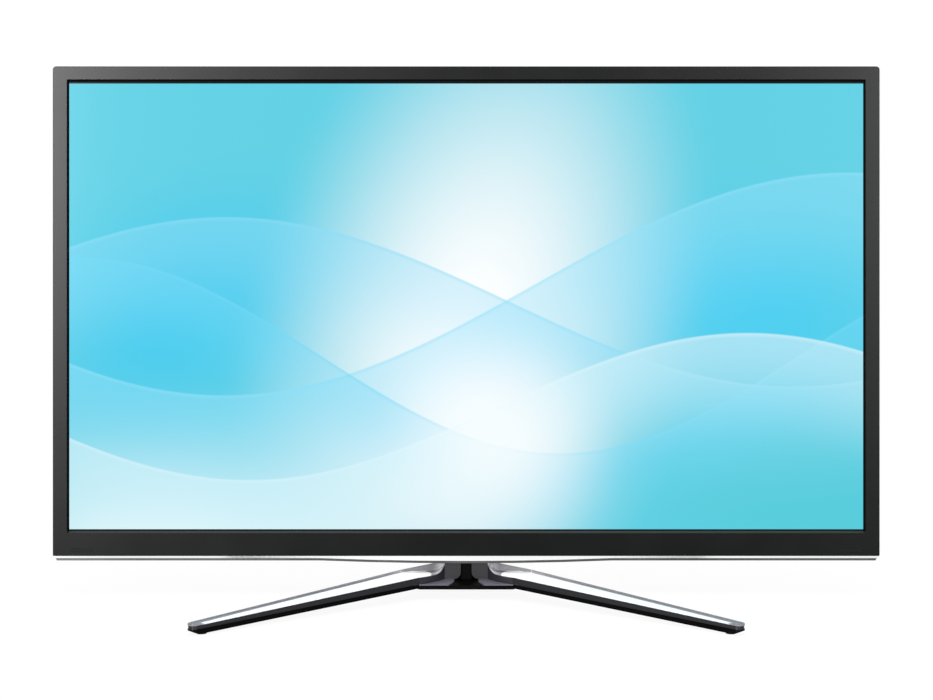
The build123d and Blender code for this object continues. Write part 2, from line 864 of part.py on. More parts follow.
def make_vesa_posts():
    posts = []
    for x, z in vesa_places():
        post_y = chassis_y + rail_t
        post = rod(vesa_post_r, hump_y - post_y, (x, post_y, z), along_y)
        posts.append(post - rod(vesa_thread_r, vesa_thread_l + over, (x, hump_y - vesa_thread_l, z), along_y))
    return posts


def make_vesa_rails():
    reach = vesa_pitch / 2 + rail_reach
    rails = []
    for side in (-1, 1):
        centre = side * vesa_pitch / 2
        rails.append(block((centre - rail_w / 2, centre + rail_w / 2), (chassis_y, chassis_y + rail_t),
                           (vesa_mid_z - reach, vesa_mid_z + reach)))
    return rails


# One board with its holes, and the standoffs and screws that belong to it
board_list = [
    ("main_board", main_board_x, main_board_z, board_rise),
    ("power_board", power_board_x, main_board_z, board_rise),
    ("timing_board", timing_board_x, timing_board_z, slim_rise),
    ("driver_board", driver_board_x, driver_board_z, slim_rise),
    ("driver_board", (-driver_board_x[1], -driver_board_x[0]), driver_board_z, slim_rise),
]


def corners(xs, zs):
    inner_x = (xs[0] + board_edge, xs[1] - board_edge)
    inner_z = (zs[0] + board_edge, zs[1] - board_edge)
    return [(x, z) for x in inner_x for z in inner_z]


def screw_hole(x, z, rise):
    return rod(board_screw_r + screw_fit, rise + board_t, (x, chassis_y, z), along_y)


def make_boards():
    standoffs = []
    screws = []
    driver_boards = []
    for name, xs, zs, rise in board_list:
        front = chassis_y + rise
        board = block(xs, (front, front + board_t), zs)
        for x, z in corners(xs, zs):
            board -= screw_hole(x, z, rise)
            standoffs.append(rod(standoff_r, rise, (x, chassis_y, z), along_y) - screw_hole(x, z, rise))
            shank = rod(board_screw_r, rise / 2 + board_t, (x, front - rise / 2, z), along_y)
            screws.append(shank + rod(board_head_r, board_head_h, (x, front + board_t, z), along_y))
        if name == "driver_board":
            driver_boards.append(board)
        else:
            write(name, board)
    write_group("driver_boards", driver_boards)
    write_group("board_standoffs", standoffs)
    write_group("board_screws", screws)


def make_ribbons():
    zs = (timing_board_z[1] - ribbon_lap, driver_board_z[0] + ribbon_lap)
    right = block(ribbon_x, (slim_back_y, slim_back_y + ribbon_t), zs)
    return [right, mirror(right, about=Plane.YZ)]


def make_heat_sink():
    sink = block(sink_x, (board_back_y, board_back_y + sink_base), sink_z)
    step = (sink_x[1] - sink_x[0] - sink_fin_t) / (sink_fins - 1)
    for number in range(sink_fins):
        low = sink_x[0] + number * step
        sink += block((low, low + sink_fin_t), (board_back_y, board_back_y + sink_h), sink_z)
    return sink


def make_transformer():
    core = block(core_x, (board_back_y, board_back_y + core_h), core_z)
    slot_x = (core_x[0] + coil_gap, core_x[1] - coil_gap)
    coil_y = (board_back_y, board_back_y + coil_h)
    core -= block(slot_x, (board_back_y - over, board_back_y + coil_h), (core_z[0] - over, core_z[1] + over))
    coil = block(slot_x, coil_y, (core_z[0] - coil_gap, core_z[1] + coil_gap))
    return core, coil


def make_capacitors():
    caps = []
    for number in range(cap_count):
        caps.append(rod(cap_r, cap_h, (cap_x, board_back_y, cap_low_z + number * cap_pitch), along_y))
    return caps


write_group("vesa_mount", make_vesa_posts() + make_vesa_rails())
make_boards()
write_group("panel_ribbons", make_ribbons())
write_group("transformer", make_transformer())
write_group("capacitors", make_capacitors())
power_sink = block(power_sink_x, (board_back_y, board_back_y + power_sink_h), power_sink_z)
write_group("heat_sinks", [make_heat_sink(), power_sink])


def side_seat(z):
    return Plane(origin=(side_mouth_x, board_back_y, z), x_dir=(0, 0, -1), z_dir=(1, 0, 0)).location


def low_seat(x):
    return Plane(origin=(x, board_back_y, low_mouth_z), x_dir=(-1, 0, 0), z_dir=(0, 0, -1)).location


# Each socket is drawn with its mouth at height zero, its foot on the board at y zero
def socket_body(width, height, length):
    return wide_block(width / 2, (0, height), (-length, 0))


def tongued_socket(width, height, length, wall, tongue_w, tongue_t):
    body = socket_body(width, height, length)
    body -= wide_block(width / 2 - wall, (wall, height - wall), (wall - length, over))
    middle = height / 2
    return body + wide_block(tongue_w / 2, (middle - tongue_t / 2, middle + tongue_t / 2), (-length, -tongue_setback))


def round_socket(width, radius, bore_r, length):
    centre = (0, width / 2, 0)
    body = socket_body(width, width, block_l) + rod(radius, length, centre, along_z)
    return body - rod(bore_r, length + block_l - bore_floor, (0, width / 2, bore_floor - block_l), along_z)


def lan_socket():
    body = socket_body(lan_w, lan_h, lan_l)
    return body - wide_block(lan_cavity_w / 2, (lan_floor, lan_floor + lan_cavity_h), (-lan_cavity_l, over))


def vga_socket():
    body = socket_body(vga_w, vga_h, vga_l)
    shell_y = ((vga_h - vga_shell_h) / 2, (vga_h + vga_shell_h) / 2)
    body += wide_block(vga_shell_w / 2, shell_y, (0, vga_shell_l))
    for side in (-1, 1):
        body += rod(vga_nut_r, vga_shell_l, (side * vga_nut_pitch / 2, vga_h / 2, 0), along_z)
    return body


def inlet_socket():
    body = socket_body(inlet_w, inlet_h, inlet_l)
    return body - wide_block(inlet_w / 2 - inlet_wall, (inlet_wall, inlet_h - inlet_wall), (-inlet_cavity_l, over))


def inlet_pins():
    pins = []
    for x, step in ((-pin_pitch, -pin_step), (0, pin_step), (pin_pitch, -pin_step)):
        middle = inlet_h / 2 + step
        pins.append(block((x - pin_w / 2, x + pin_w / 2), (middle - pin_h / 2, middle + pin_h / 2),
                          (-inlet_cavity_l, -pin_inset)))
    return pins


hdmi = tongued_socket(hdmi_w, hdmi_h, hdmi_l, shell_wall, hdmi_tongue_w, hdmi_tongue_t)
usb = tongued_socket(usb_w, usb_h, usb_l, shell_wall, usb_tongue_w, usb_tongue_t)
aerial = round_socket(aerial_w, aerial_r, aerial_bore_r, barrel_l)
av = round_socket(av_w, av_r, av_bore_r, barrel_l)
phone = round_socket(phone_w, phone_r, phone_bore_r, phone_l)


# Windows in the jack plates, one for each socket that comes through
def seat_cutter(width, height):
    return wide_block(width / 2 + screw_fit, (-over, height + screw_fit), (-over, over))


def make_side_plate():
    low = phone_z - phone_w - jack_plate_edge
    high = hdmi_z[-1] + hdmi_w / 2 + jack_plate_edge
    plate = block((side_plate_x, side_mouth_x), (board_back_y, board_back_y + jack_plate_h), (low, high))
    plate = drill(plate, [side_seat(z) * seat_cutter(hdmi_w, hdmi_h) for z in hdmi_z])
    plate = drill(plate, [side_seat(z) * seat_cutter(usb_w, usb_h) for z in usb_z])
    return plate - side_seat(phone_z) * seat_cutter(phone_w, phone_w)


def make_low_plate():
    xs = (lan_x - lan_w / 2 - jack_plate_edge, av_x[-1] + av_w / 2 + jack_plate_edge)
    plate = block(xs, (board_back_y, board_back_y + jack_plate_h), (low_mouth_z, low_plate_z))
    plate = drill(plate, [low_seat(x) * seat_cutter(av_w, av_w) for x in av_x])
    plate -= low_seat(lan_x) * seat_cutter(lan_w, lan_h)
    plate -= low_seat(vga_x) * seat_cutter(vga_w, vga_h)
    return plate - low_seat(aerial_x) * seat_cutter(aerial_w, aerial_w)


write_group("hdmi_sockets", [side_seat(z) * hdmi for z in hdmi_z])
write_group("usb_sockets", [side_seat(z) * usb for z in usb_z])
write("headphone_socket", side_seat(phone_z) * phone)
write("lan_socket", low_seat(lan_x) * lan_socket())
write("vga_socket", low_seat(vga_x) * vga_socket())
write("aerial_socket", low_seat(aerial_x) * aerial)
write_group("av_sockets", [low_seat(x) * av for x in av_x])
write_group("jack_plates", [make_side_plate(), make_low_plate()])
write("power_inlet", low_seat(inlet_x) * inlet_socket())
write_group("inlet_pins", [low_seat(inlet_x) * pin for pin in inlet_pins()])


def key_prism(lap, ys, z):
    plane = Plane(origin=(key_x, ys[0], z), x_dir=(1, 0, 0), z_dir=(0, -1, 0))
    return extrude(plane * RectangleRounded(key_w + 2 * lap, key_l + 2 * lap, key_r), amount=ys[0] - ys[1])


def make_key(z):
    stem = key_prism(0, (key_foot_y, tray_y + key_proud), z)
    return stem + key_prism(flange_lap, (flange_y, flange_y + flange_t), z)


def key_place(number):
    return key_low_z + number * key_pitch


def make_key_board():
    xs = (key_x - key_board_w / 2, key_x + key_board_w / 2)
    zs = (key_low_z - key_board_edge, key_high_z + key_board_edge)
    board = block(xs, (key_board_y, switch_y), zs)
    for low in (zs[0], zs[1] - board_edge):
        board += block(xs, (chassis_y, key_board_y), (low, low + board_edge))
    return board


def make_switches():
    half = switch_w / 2
    ys = (switch_y, switch_y + switch_t)
    places = [key_place(number) for number in range(len(key_names))]
    return [block((key_x - half, key_x + half), ys, (z - half, z + half)) for z in places]


for number, key_name in enumerate(key_names):
    write(f"{key_name}_key", make_key(key_place(number)))
write("key_board", make_key_board())
write_group("key_switches", make_switches())


def sensor_block(side, lap, ys):
    centre = side * sensor_x
    half = sensor_w / 2 + lap
    return block((centre - half, centre + half), ys, (sensor_z[0] - lap, sensor_z[1] + lap))


def make_window(side):
    pane = sensor_block(side, -screw_fit, (face_y, plate_back_y))
    low = (sensor_z[0] - clearance, sensor_z[1] + sensor_lap)
    half = sensor_w / 2 + sensor_lap
    centre = side * sensor_x
    return pane + block((centre - half, centre + half), (plate_back_y, plate_back_y + sensor_flange_t), low)


def make_sensor_board(side):
    centre = side * sensor_x
    zs = (cell_floor, cell_floor + sensor_board_h)
    board = block((centre - sensor_w / 2, centre + sensor_w / 2), (sensor_board_y, sensor_board_y + board_t), zs)
    eye = (centre, sensor_board_y, sum(sensor_z) / 2)
    return board + rod(sensor_dome_r, sensor_gap - clearance, eye, along_back_y)


def make_speaker():
    box = block(speaker_x, speaker_y, (cell_floor, cell_floor + speaker_h))
    return box - make_cone(screw_fit)


def make_cone(fit):
    centre = sum(speaker_x) / 2
    middle = sum(speaker_y) / 2
    width = driver_w + 2 * fit
    plane = Plane(origin=(centre, middle, cell_floor), x_dir=(1, 0, 0), z_dir=(0, 0, 1))
    return extrude(plane * SlotOverall(width, driver_d + 2 * fit), amount=driver_t + fit)


def speaker_slots():
    slots = []
    start = sum(speaker_x) / 2 - (slot_count - 1) * slot_pitch / 2
    for number in range(slot_count):
        for side in (-1, 1):
            centre = side * (start + number * slot_pitch)
            slots.append(block((centre - slot_w / 2, centre + slot_w / 2), slot_y,
                               (body_low - over, cell_floor)))
    return slots


def core_slot(zs):
    return wide_block(neck_half + clearance, (bracket_back_y - clearance, core_back_y + clearance), zs)


def finish_bezel():
    bezel = drill(make_bezel(), [sensor_block(side, 0, (face_y - over, plate_back_y + over)) for side in (-1, 1)])
    bezel -= core_slot((body_low - over, body_low + rim_wall + over))
    return bezel - speaker_slots()


write("front_bezel", finish_bezel())
write_group("sensor_windows", [make_window(side) for side in (-1, 1)])
write_group("sensor_boards", [make_sensor_board(side) for side in (-1, 1)])
write_group("speaker_boxes", [make_speaker(), mirror(make_speaker(), about=Plane.YZ)])
write_group("speaker_drivers", [make_cone(0), mirror(make_cone(0), about=Plane.YZ)])


def cover_screw_places():
    side_x = body_half - cover_screw_edge
    side_z = (body_low + cover_screw_end, body_mid_z, body_high - cover_screw_end)
    top_z = body_high - cover_screw_drop
    places = []
    for side in (-1, 1):
        places += [(side * side_x, z) for z in side_z]
        places += [(side * share * body_half, top_z) for share in cover_screw_top_shares]
    return places


def cover_screw(x, z, fit):
    seat = tray_y - cover_sink
    shank = rod(cover_screw_r + fit, seat - backplate_y, (x, backplate_y, z), along_y)
    return shank + rod(cover_head_r + fit, cover_head_h, (x, seat, z), along_y)


# Screws in deep wells that hold the housing to the backplate
def housing_screw_places():
    high = (hump_half - housing_screw_in, hump_high_z - housing_screw_in)
    low = (housing_screw_half, hump_low_z + housing_screw_rise)
    return [(side * x, z) for side in (-1, 1) for x, z in (high, low)]


def housing_screw(x, z, fit):
    seat = chassis_y + housing_seat
    shank = rod(cover_screw_r + fit, seat - backplate_y, (x, backplate_y, z), along_y)
    return shank + rod(cover_head_r + fit, cover_head_h, (x, seat, z), along_y)


def housing_well(x, z):
    seat = chassis_y + housing_seat
    return rod(cover_head_r + screw_fit, hump_y + over - seat, (x, seat, z), along_y)


# Tray outline, drawn in by a margin on every side
def tray_solid(inset):
    width = 2 * (body_half - cover_inset - inset)
    height = body_high - body_low - 2 * (cover_inset + inset)
    front = rounded(width, height, corner_r, rim_y, body_mid_z)
    back = rounded(width - 2 * tray_draft, height - 2 * tray_draft, corner_r, tray_y, body_mid_z)
    return tapered(front, back)


# Housing outline with its notch for the stand, drawn in by a margin on every side
def housing_solid(inset):
    wide = 2 * (hump_half - inset)
    tall = hump_high - 2 * inset
    front = rounded(wide, tall, hump_r, tray_y, hump_mid_z)
    back = rounded(wide - 2 * hump_draft, tall - 2 * hump_draft, hump_r, hump_y, hump_mid_z)
    notch = wide_block(notch_half + inset, (tray_y - over, hump_y + over),
                       (hump_low_z - over, hump_low_z + notch_h + inset))
    return tapered(front, back) - notch


def vent_row(first, last, z):
    count = int((last - first) / vent_pitch) + 1
    start = (first + last - (count - 1) * vent_pitch) / 2
    ys = (hump_y - cover_wall - over, hump_y + over)
    places = [start + number * vent_pitch for number in range(count)]
    return [block((x - vent_w / 2, x + vent_w / 2), ys, (z, z + vent_h)) for x in places]


def vent_slots():
    first = vesa_pitch / 2 + vesa_post_r + vent_gap
    last = hump_half - hump_draft - vent_edge
    middle = vesa_pitch / 2 - vesa_post_r - vent_middle_gap
    slots = vent_row(-middle, middle, hump_low_z + vent_high)
    for rise in (vent_low, vent_high):
        slots += vent_row(first, last, hump_low_z + rise)
        slots += vent_row(-last, -first, hump_low_z + rise)
    return slots


# Recesses in the housing that lead to the sockets: along one side, and along the low edge
def recesses():
    deep = (tray_y, board_back_y + jack_plate_h)
    side_z = (phone_z - phone_w - recess_edge, hdmi_z[-1] + hdmi_w / 2 + recess_edge)
    low_x = (lan_x - lan_w / 2 - recess_edge, av_x[-1] + av_w / 2 + recess_edge)
    low_z = (hump_low_z - over, low_mouth_z)
    inlet_span = (inlet_x - inlet_w / 2, inlet_x + inlet_w / 2)
    return [((side_mouth_x, hump_half + over), deep, side_z), (low_x, deep, low_z),
            (inlet_span, (tray_y, board_back_y + inlet_h), low_z)]


def recess_shell(xs, ys, zs):
    grown_x = (xs[0], xs[1]) if xs[0] == side_mouth_x else (xs[0] - recess_wall, xs[1] + recess_wall)
    grown_z = (zs[0] - recess_wall, zs[1] + recess_wall) if xs[0] == side_mouth_x else zs
    return block(grown_x, (ys[0], ys[1] + recess_wall), grown_z)


def make_tray():
    tray = tray_solid(0) - Pos(0, -cover_wall, 0) * tray_solid(cover_wall)
    for x, z in cover_screw_places():
        tray += rod(boss_r, wall_y - chassis_y + over, (x, chassis_y, z), along_y)
        tray -= cover_screw(x, z, screw_fit)
    window = block((cover_wall - hump_half, side_mouth_x + clearance), (wall_y - over, tray_y + over),
                   (low_mouth_z - clearance, hump_high_z - cover_wall))
    island = wide_block(notch_half + cover_wall, (wall_y - over, tray_y + over),
                        (hump_low_z, hump_low_z + notch_h + cover_wall))
    tray -= window - island
    tray = drill(tray, [key_prism(clearance, (chassis_y, tray_y + over), key_place(number))
                        for number in range(len(key_names))])
    tray = drill(tray, stand_cutters)
    return tray - core_slot((body_low, body_low + cover_inset + cover_wall + tray_draft + over))


def make_housing():
    outside = housing_solid(0)
    housing = outside - Pos(0, -cover_wall, 0) * housing_solid(cover_wall)
    for xs, ys, zs in recesses():
        housing += recess_shell(xs, ys, zs) & outside
        housing -= block(xs, ys, zs)
    for x, z in housing_screw_places():
        housing += rod(boss_r, hump_y - cover_wall - chassis_y, (x, chassis_y, z), along_y)
        housing -= housing_screw(x, z, screw_fit) + housing_well(x, z)
    for x, z in vesa_places():
        housing -= rod(vesa_post_r + clearance, hump_y, (x, chassis_y, z), along_y)
    return housing - vent_slots()


write("rear_cover", make_tray())
write("rear_housing", make_housing())
back_screws = [cover_screw(x, z, 0) for x, z in cover_screw_places()]
back_screws += [housing_screw(x, z, 0) for x, z in housing_screw_places()]
write_group("cover_screws", back_screws)
plate_cutters = [cover_screw(x, z, screw_fit) for x, z in cover_screw_places()]
plate_cutters += [housing_screw(x, z, screw_fit) for x, z in housing_screw_places()]
write("backplate", drill(make_backplate(), plate_cutters))


def lead(points, radius):
    bends = []
    for before, corner, after in zip(points, points[1:], points[2:]):
        first = Vector(*corner) - Vector(*before)
        second = Vector(*after) - Vector(*corner)
        half_turn = math.radians(first.get_angle(second)) / 2
        shorter = min(first.length, second.length)
        bends.append(min(lead_bend, bend_share * shorter / math.tan(half_turn)))
    path = FilletPolyline(*points, radius=bends)
    start = Plane(origin=points[0], z_dir=Vector(*points[1]) - Vector(*points[0]))
    return sweep(start * Circle(radius), path=path)


def make_leads():
    key_start_z = key_low_z - key_board_edge
    key_lead_y = key_board_y + board_t / 2
    key = [(key_x, key_lead_y, key_start_z), (key_x, key_lead_y, key_lead_z),
           (key_lead_x, key_lead_y, key_lead_z), (key_lead_x, board_y, key_lead_z)]
    sensor_mid_z = cell_floor + sensor_board_h / 2
    receiver = [(-sensor_x, sensor_board_y + board_t, sensor_mid_z), (-sensor_x, lead_y, sensor_mid_z),
                (-sensor_x, lead_y, receiver_lead_z), (receiver_lead_x, lead_y, receiver_lead_z),
                (receiver_lead_x, board_y, receiver_lead_z)]
    power = [(power_lead_x[0], board_y, power_lead_z), (power_lead_x[0], lead_y, power_lead_z),
             (power_lead_x[1], lead_y, power_lead_z), (power_lead_x[1], board_y, power_lead_z)]
    box_top = cell_floor + speaker_h
    right = [(speaker_lead_x[0], board_y, speaker_lead_z[0]), (speaker_lead_x[0], thin_y, speaker_lead_z[0]),
             (speaker_lead_x[0], thin_y, speaker_lead_z[1]), (speaker_lead_x[1], thin_y, speaker_lead_z[1]),
             (speaker_lead_x[1], thin_y, box_top)]
    left = [(left_lead_x[0], board_y, left_lead_z), (left_lead_x[0], thin_y, left_lead_z),
            (left_lead_x[1], thin_y, left_lead_z), (left_lead_x[1], thin_y, box_top)]
    thick = [lead(points, lead_r) for points in (key, receiver, power)]
    return thick + [lead(points, thin_lead_r) for points in (right, left)]


write_group("internal_leads", make_leads())
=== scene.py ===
import bpy
import math
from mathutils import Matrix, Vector


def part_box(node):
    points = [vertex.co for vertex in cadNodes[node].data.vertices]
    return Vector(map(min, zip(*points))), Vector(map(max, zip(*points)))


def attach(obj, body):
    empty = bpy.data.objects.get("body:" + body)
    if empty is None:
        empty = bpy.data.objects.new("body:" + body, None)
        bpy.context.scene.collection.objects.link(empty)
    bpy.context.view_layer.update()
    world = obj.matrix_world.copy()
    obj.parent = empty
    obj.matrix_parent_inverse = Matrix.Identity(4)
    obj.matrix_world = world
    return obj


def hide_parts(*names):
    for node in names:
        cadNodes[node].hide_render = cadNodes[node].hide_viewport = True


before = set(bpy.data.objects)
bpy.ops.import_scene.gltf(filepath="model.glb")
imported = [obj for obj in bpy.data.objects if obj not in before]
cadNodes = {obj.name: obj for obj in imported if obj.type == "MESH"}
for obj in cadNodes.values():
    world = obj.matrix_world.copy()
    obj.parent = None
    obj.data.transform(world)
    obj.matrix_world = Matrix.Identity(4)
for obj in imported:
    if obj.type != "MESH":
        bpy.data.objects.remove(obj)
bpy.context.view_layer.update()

mm = 0.001
quarterTurn = math.radians(90)
mathNode, rangeNode, mixNode = "ShaderNodeMath", "ShaderNodeMapRange", "ShaderNodeMix"
noiseNode, placeNode, splitNode = "ShaderNodeTexNoise", "ShaderNodeTexCoord", "ShaderNodeSeparateXYZ"
bpy.context.scene.view_settings.view_transform = "Standard"
print("frame loaded, nodes:", len(cadNodes))


# sRGB hex to the linear colour that the sockets take
def rgb(text):
    parts = [int(text[i:i + 2], 16) / 255 for i in (0, 2, 4)]
    linear = [p / 12.92 if p <= 0.04045 else ((p + 0.055) / 1.055) ** 2.4 for p in parts]
    return (*linear, 1.0)


# one node with its settings and its inputs: a fixed value, a socket, or a node whose first output is taken
def addNode(tree, kind, inputs=None, **settings):
    made = tree.nodes.new(kind)
    for name, value in settings.items():
        setattr(made, name, value)
    for name, value in (inputs or {}).items():
        source = value.outputs[0] if isinstance(value, bpy.types.Node) else value
        if isinstance(source, bpy.types.NodeSocket):
            tree.links.new(source, made.inputs[name])
        else:
            made.inputs[name].default_value = source
    return made


def blankMaterial(name):
    made = bpy.data.materials.new(name)
    made.use_nodes = True
    made.node_tree.nodes.clear()
    return made, made.node_tree


# a finish with a grain: two close colours, a roughness that wanders and a fine relief
def grained(name, colours, rough, metal=0.0, ior=1.5, specular=0.5, grainMm=0.8, cloudMm=60.0,
            reliefMm=0.004, stretch=(1, 1, 1)):
    made, tree = blankMaterial(name)
    place = addNode(tree, placeNode)
    stretched = addNode(tree, "ShaderNodeMapping", {"Vector": place.outputs["Object"], "Scale": stretch})
    cloud = addNode(tree, noiseNode, {"Vector": stretched, "Scale": 1000 / cloudMm, "Detail": 4.0})
    grain = addNode(tree, noiseNode, {"Vector": stretched, "Scale": 1000 / grainMm, "Detail": 2.0})
    tint = addNode(tree, "ShaderNodeValToRGB", {"Fac": cloud})
    for stop, position, colour in zip(tint.color_ramp.elements, (0.35, 0.65), colours):
        stop.position = position
        stop.color = rgb(colour)
    polish = addNode(tree, rangeNode, {"Value": cloud, "From Min": 0.3, "From Max": 0.7,
                                       "To Min": rough[0], "To Max": rough[1]})
    relief = addNode(tree, "ShaderNodeBump", {"Height": grain, "Strength": 0.6, "Distance": reliefMm * mm})
    inputs = {"Base Color": tint, "Roughness": polish, "Normal": relief, "Metallic": metal}
    if metal < 0.5:  # a metal keeps the shader's own IOR
        inputs.update({"IOR": ior, "Specular IOR Level": specular})
    shader = addNode(tree, "ShaderNodeBsdfPrincipled", inputs)
    addNode(tree, "ShaderNodeOutputMaterial", {"Surface": shader})
    return made


# camera at the photograph's place, a little below the top of the set
shot = {"distance": 2.6, "height": 0.559, "screenY": 0.0525, "lens": 85.6, "film": 36,
        "shiftX": 0.0003, "shiftY": -0.2493}
cameraData = bpy.data.cameras.new("shotCamera")
cameraData.lens = shot["lens"]
cameraData.sensor_width = shot["film"]
cameraData.shift_x = shot["shiftX"]
cameraData.shift_y = shot["shiftY"]
camera = bpy.data.objects.new("shotCamera", cameraData)
camera.location = (0, shot["screenY"] - shot["distance"], shot["height"])
camera.rotation_euler = (quarterTurn, 0, 0)
bpy.context.scene.collection.objects.link(camera)
bpy.context.scene.camera = camera


# soft panels of light; a sheen lamp shows only in polished faces
panels = [
    {"name": "overhead", "at": (0.0, -0.5, 2.6), "aimZ": 0.2, "size": (3.0, 2.0), "watts": 46, "sheen": False},
    {"name": "leftFront", "at": (-2.1, -3.0, 1.5), "aimZ": 0.4, "size": (1.2, 1.6), "watts": 30, "sheen": False},
    {"name": "rightFront", "at": (2.6, -2.9, 1.2), "aimZ": 0.4, "size": (0.9, 1.4), "watts": 14, "sheen": False},
    {"name": "behind", "at": (0.0, 2.6, 2.2), "aimZ": 0.3, "size": (2.4, 1.2), "watts": 36, "sheen": False},
    {"name": "leftSheen", "at": (-1.5, -3.0, 0.85), "aimZ": 0.5, "size": (0.5, 1.6), "watts": 400, "sheen": True},
    {"name": "rightSheen", "at": (1.55, -3.0, 0.85), "aimZ": 0.5, "size": (0.5, 1.6), "watts": 150, "sheen": True},
]
for panel in panels:
    lamp = bpy.data.lights.new(panel["name"], "AREA")
    lamp.shape = "RECTANGLE"
    lamp.size, lamp.size_y = panel["size"]
    lamp.energy = panel["watts"]
    lampStand = bpy.data.objects.new(panel["name"], lamp)
    lampStand.location = panel["at"]
    towards = Vector((0, 0, panel["aimZ"])) - Vector(panel["at"])
    lampStand.rotation_euler = towards.to_track_quat("-Z", "Y").to_euler()
    lampStand.visible_diffuse = not panel["sheen"]
    bpy.context.scene.collection.objects.link(lampStand)

# white world, whole to the eye, to polish and to glass, and a weaker fill on everything else
studio = {"background": "ffffff", "fill": 0.55}
world = bpy.data.worlds.new("whiteStudio")
bpy.context.scene.world = world
world.use_nodes = True
sky = world.node_tree
sky.nodes.clear()
rays = addNode(sky, "ShaderNodeLightPath")
seenOrGlossy = addNode(sky, mathNode, {0: rays.outputs["Is Camera Ray"], 1: rays.outputs["Is Glossy Ray"]},
                       operation="MAXIMUM")
seen = addNode(sky, mathNode, {0: seenOrGlossy, 1: rays.outputs["Is Transmission Ray"]}, operation="MAXIMUM")
level = addNode(sky, rangeNode, {"Value": seen, "To Min": studio["fill"], "To Max": 1.0})
backdrop = addNode(sky, "ShaderNodeBackground", {"Color": rgb(studio["background"]), "Strength": level})
addNode(sky, "ShaderNodeOutputWorld", {"Surface": backdrop})

# paper sweep: plain white that keeps the set's soft shadow and clears to pure white further out
floorLook = {"size": 60.0, "colour": "ffffff", "clean": 0.93, "near": 1.1, "far": 2.6}
bpy.ops.object.select_all(action="DESELECT")
bpy.ops.mesh.primitive_plane_add(size=floorLook["size"], location=(0, 0, 0))
floor = bpy.context.object
floor.name = "studioFloor"
floorPaint, tree = blankMaterial("paper sweep")
rays = addNode(tree, "ShaderNodeLightPath")
paper = addNode(tree, "ShaderNodeBsdfDiffuse", {"Color": rgb(floorLook["colour"])})
glow = addNode(tree, "ShaderNodeEmission", {"Color": rgb(floorLook["colour"]), "Strength": 1.0})
seen = addNode(tree, mathNode, {0: rays.outputs["Is Camera Ray"], 1: rays.outputs["Is Glossy Ray"]},
               operation="MAXIMUM")
place = addNode(tree, placeNode)
away = addNode(tree, "ShaderNodeVectorMath", {0: place.outputs["Object"]}, operation="LENGTH")
clean = addNode(tree, rangeNode, {"Value": away.outputs["Value"], "From Min": floorLook["near"],
                                  "From Max": floorLook["far"], "To Min": floorLook["clean"], "To Max": 1.0},
                interpolation_type="SMOOTHSTEP")
glowShare = addNode(tree, mathNode, {0: seen, 1: clean}, operation="MULTIPLY")
both = addNode(tree, "ShaderNodeMixShader", {0: glowShare, 1: paper, 2: glow})
addNode(tree, "ShaderNodeOutputMaterial", {"Surface": both})
floor.data.materials.append(floorPaint)
print("camera, lights and floor are in place")


# lit picture: a soft cyan field with pale glows and broad sheets of light that cross, behind smooth glass
picture = {"halfWidth": 0.46512, "low": 0.0764, "high": 0.5986, "field": "5ecfe3", "glass": "050506",
           "edgeSoft": 0.004, "rimDeep": 0.02, "rimMost": 0.3}
patches = [
    {"at": (0.95, -0.85), "radius": (0.9, 0.8), "lean": 0.0, "colour": "50cad8", "most": 0.9},
    {"at": (-0.75, -1.15), "radius": (0.95, 0.85), "lean": 0.0, "colour": "e4f7fa", "most": 1.0},
    {"at": (-0.72, 0.0), "radius": (0.55, 0.75), "lean": 0.2, "colour": "38c9ee", "most": 0.9},
    {"at": (0.72, 0.02), "radius": (0.6, 0.65), "lean": 0.0, "colour": "40ccf0", "most": 0.9},
    {"at": (0.02, -0.15), "radius": (0.62, 1.9), "lean": 0.1, "colour": "ffffff", "most": 1.0},
]
sheets = [
    {"level": 0.02, "swing": 0.38, "pace": 2.2, "phase": 2.9, "depth": 0.62, "most": 0.42, "colour": "8adcf6"},
    {"level": 0.10, "swing": 0.50, "pace": 2.0, "phase": -0.35, "depth": 0.75, "most": 0.42, "colour": "8fe0f8"},
    {"level": -0.22, "swing": 0.44, "pace": 2.6, "phase": 4.1, "depth": 0.45, "most": 0.40, "colour": "6fd8f5"},
    {"level": -0.45, "swing": 0.33, "pace": 2.5, "phase": -0.2, "depth": 0.55, "most": 0.5, "colour": "d6f3fa"},
]
# the last glow shines through the sheets
lastGlow = {"at": (0.08, -0.62), "radius": (0.34, 0.62), "lean": 0.0, "colour": "ffffff", "most": 0.7}
lcdGlass, pictureTree = blankMaterial("lit display glass")
place = addNode(pictureTree, placeNode)
spot = addNode(pictureTree, splitNode, {"Vector": place.outputs["Object"]})
pictureX = addNode(pictureTree, rangeNode, {"Value": spot.outputs["X"], "From Min": -picture["halfWidth"],
                                            "From Max": picture["halfWidth"], "To Min": -1.0, "To Max": 1.0},
                   clamp=False)
pictureZ = addNode(pictureTree, rangeNode, {"Value": spot.outputs["Z"], "From Min": picture["low"],
                                            "From Max": picture["high"], "To Min": -1.0, "To Max": 1.0},
                   clamp=False)


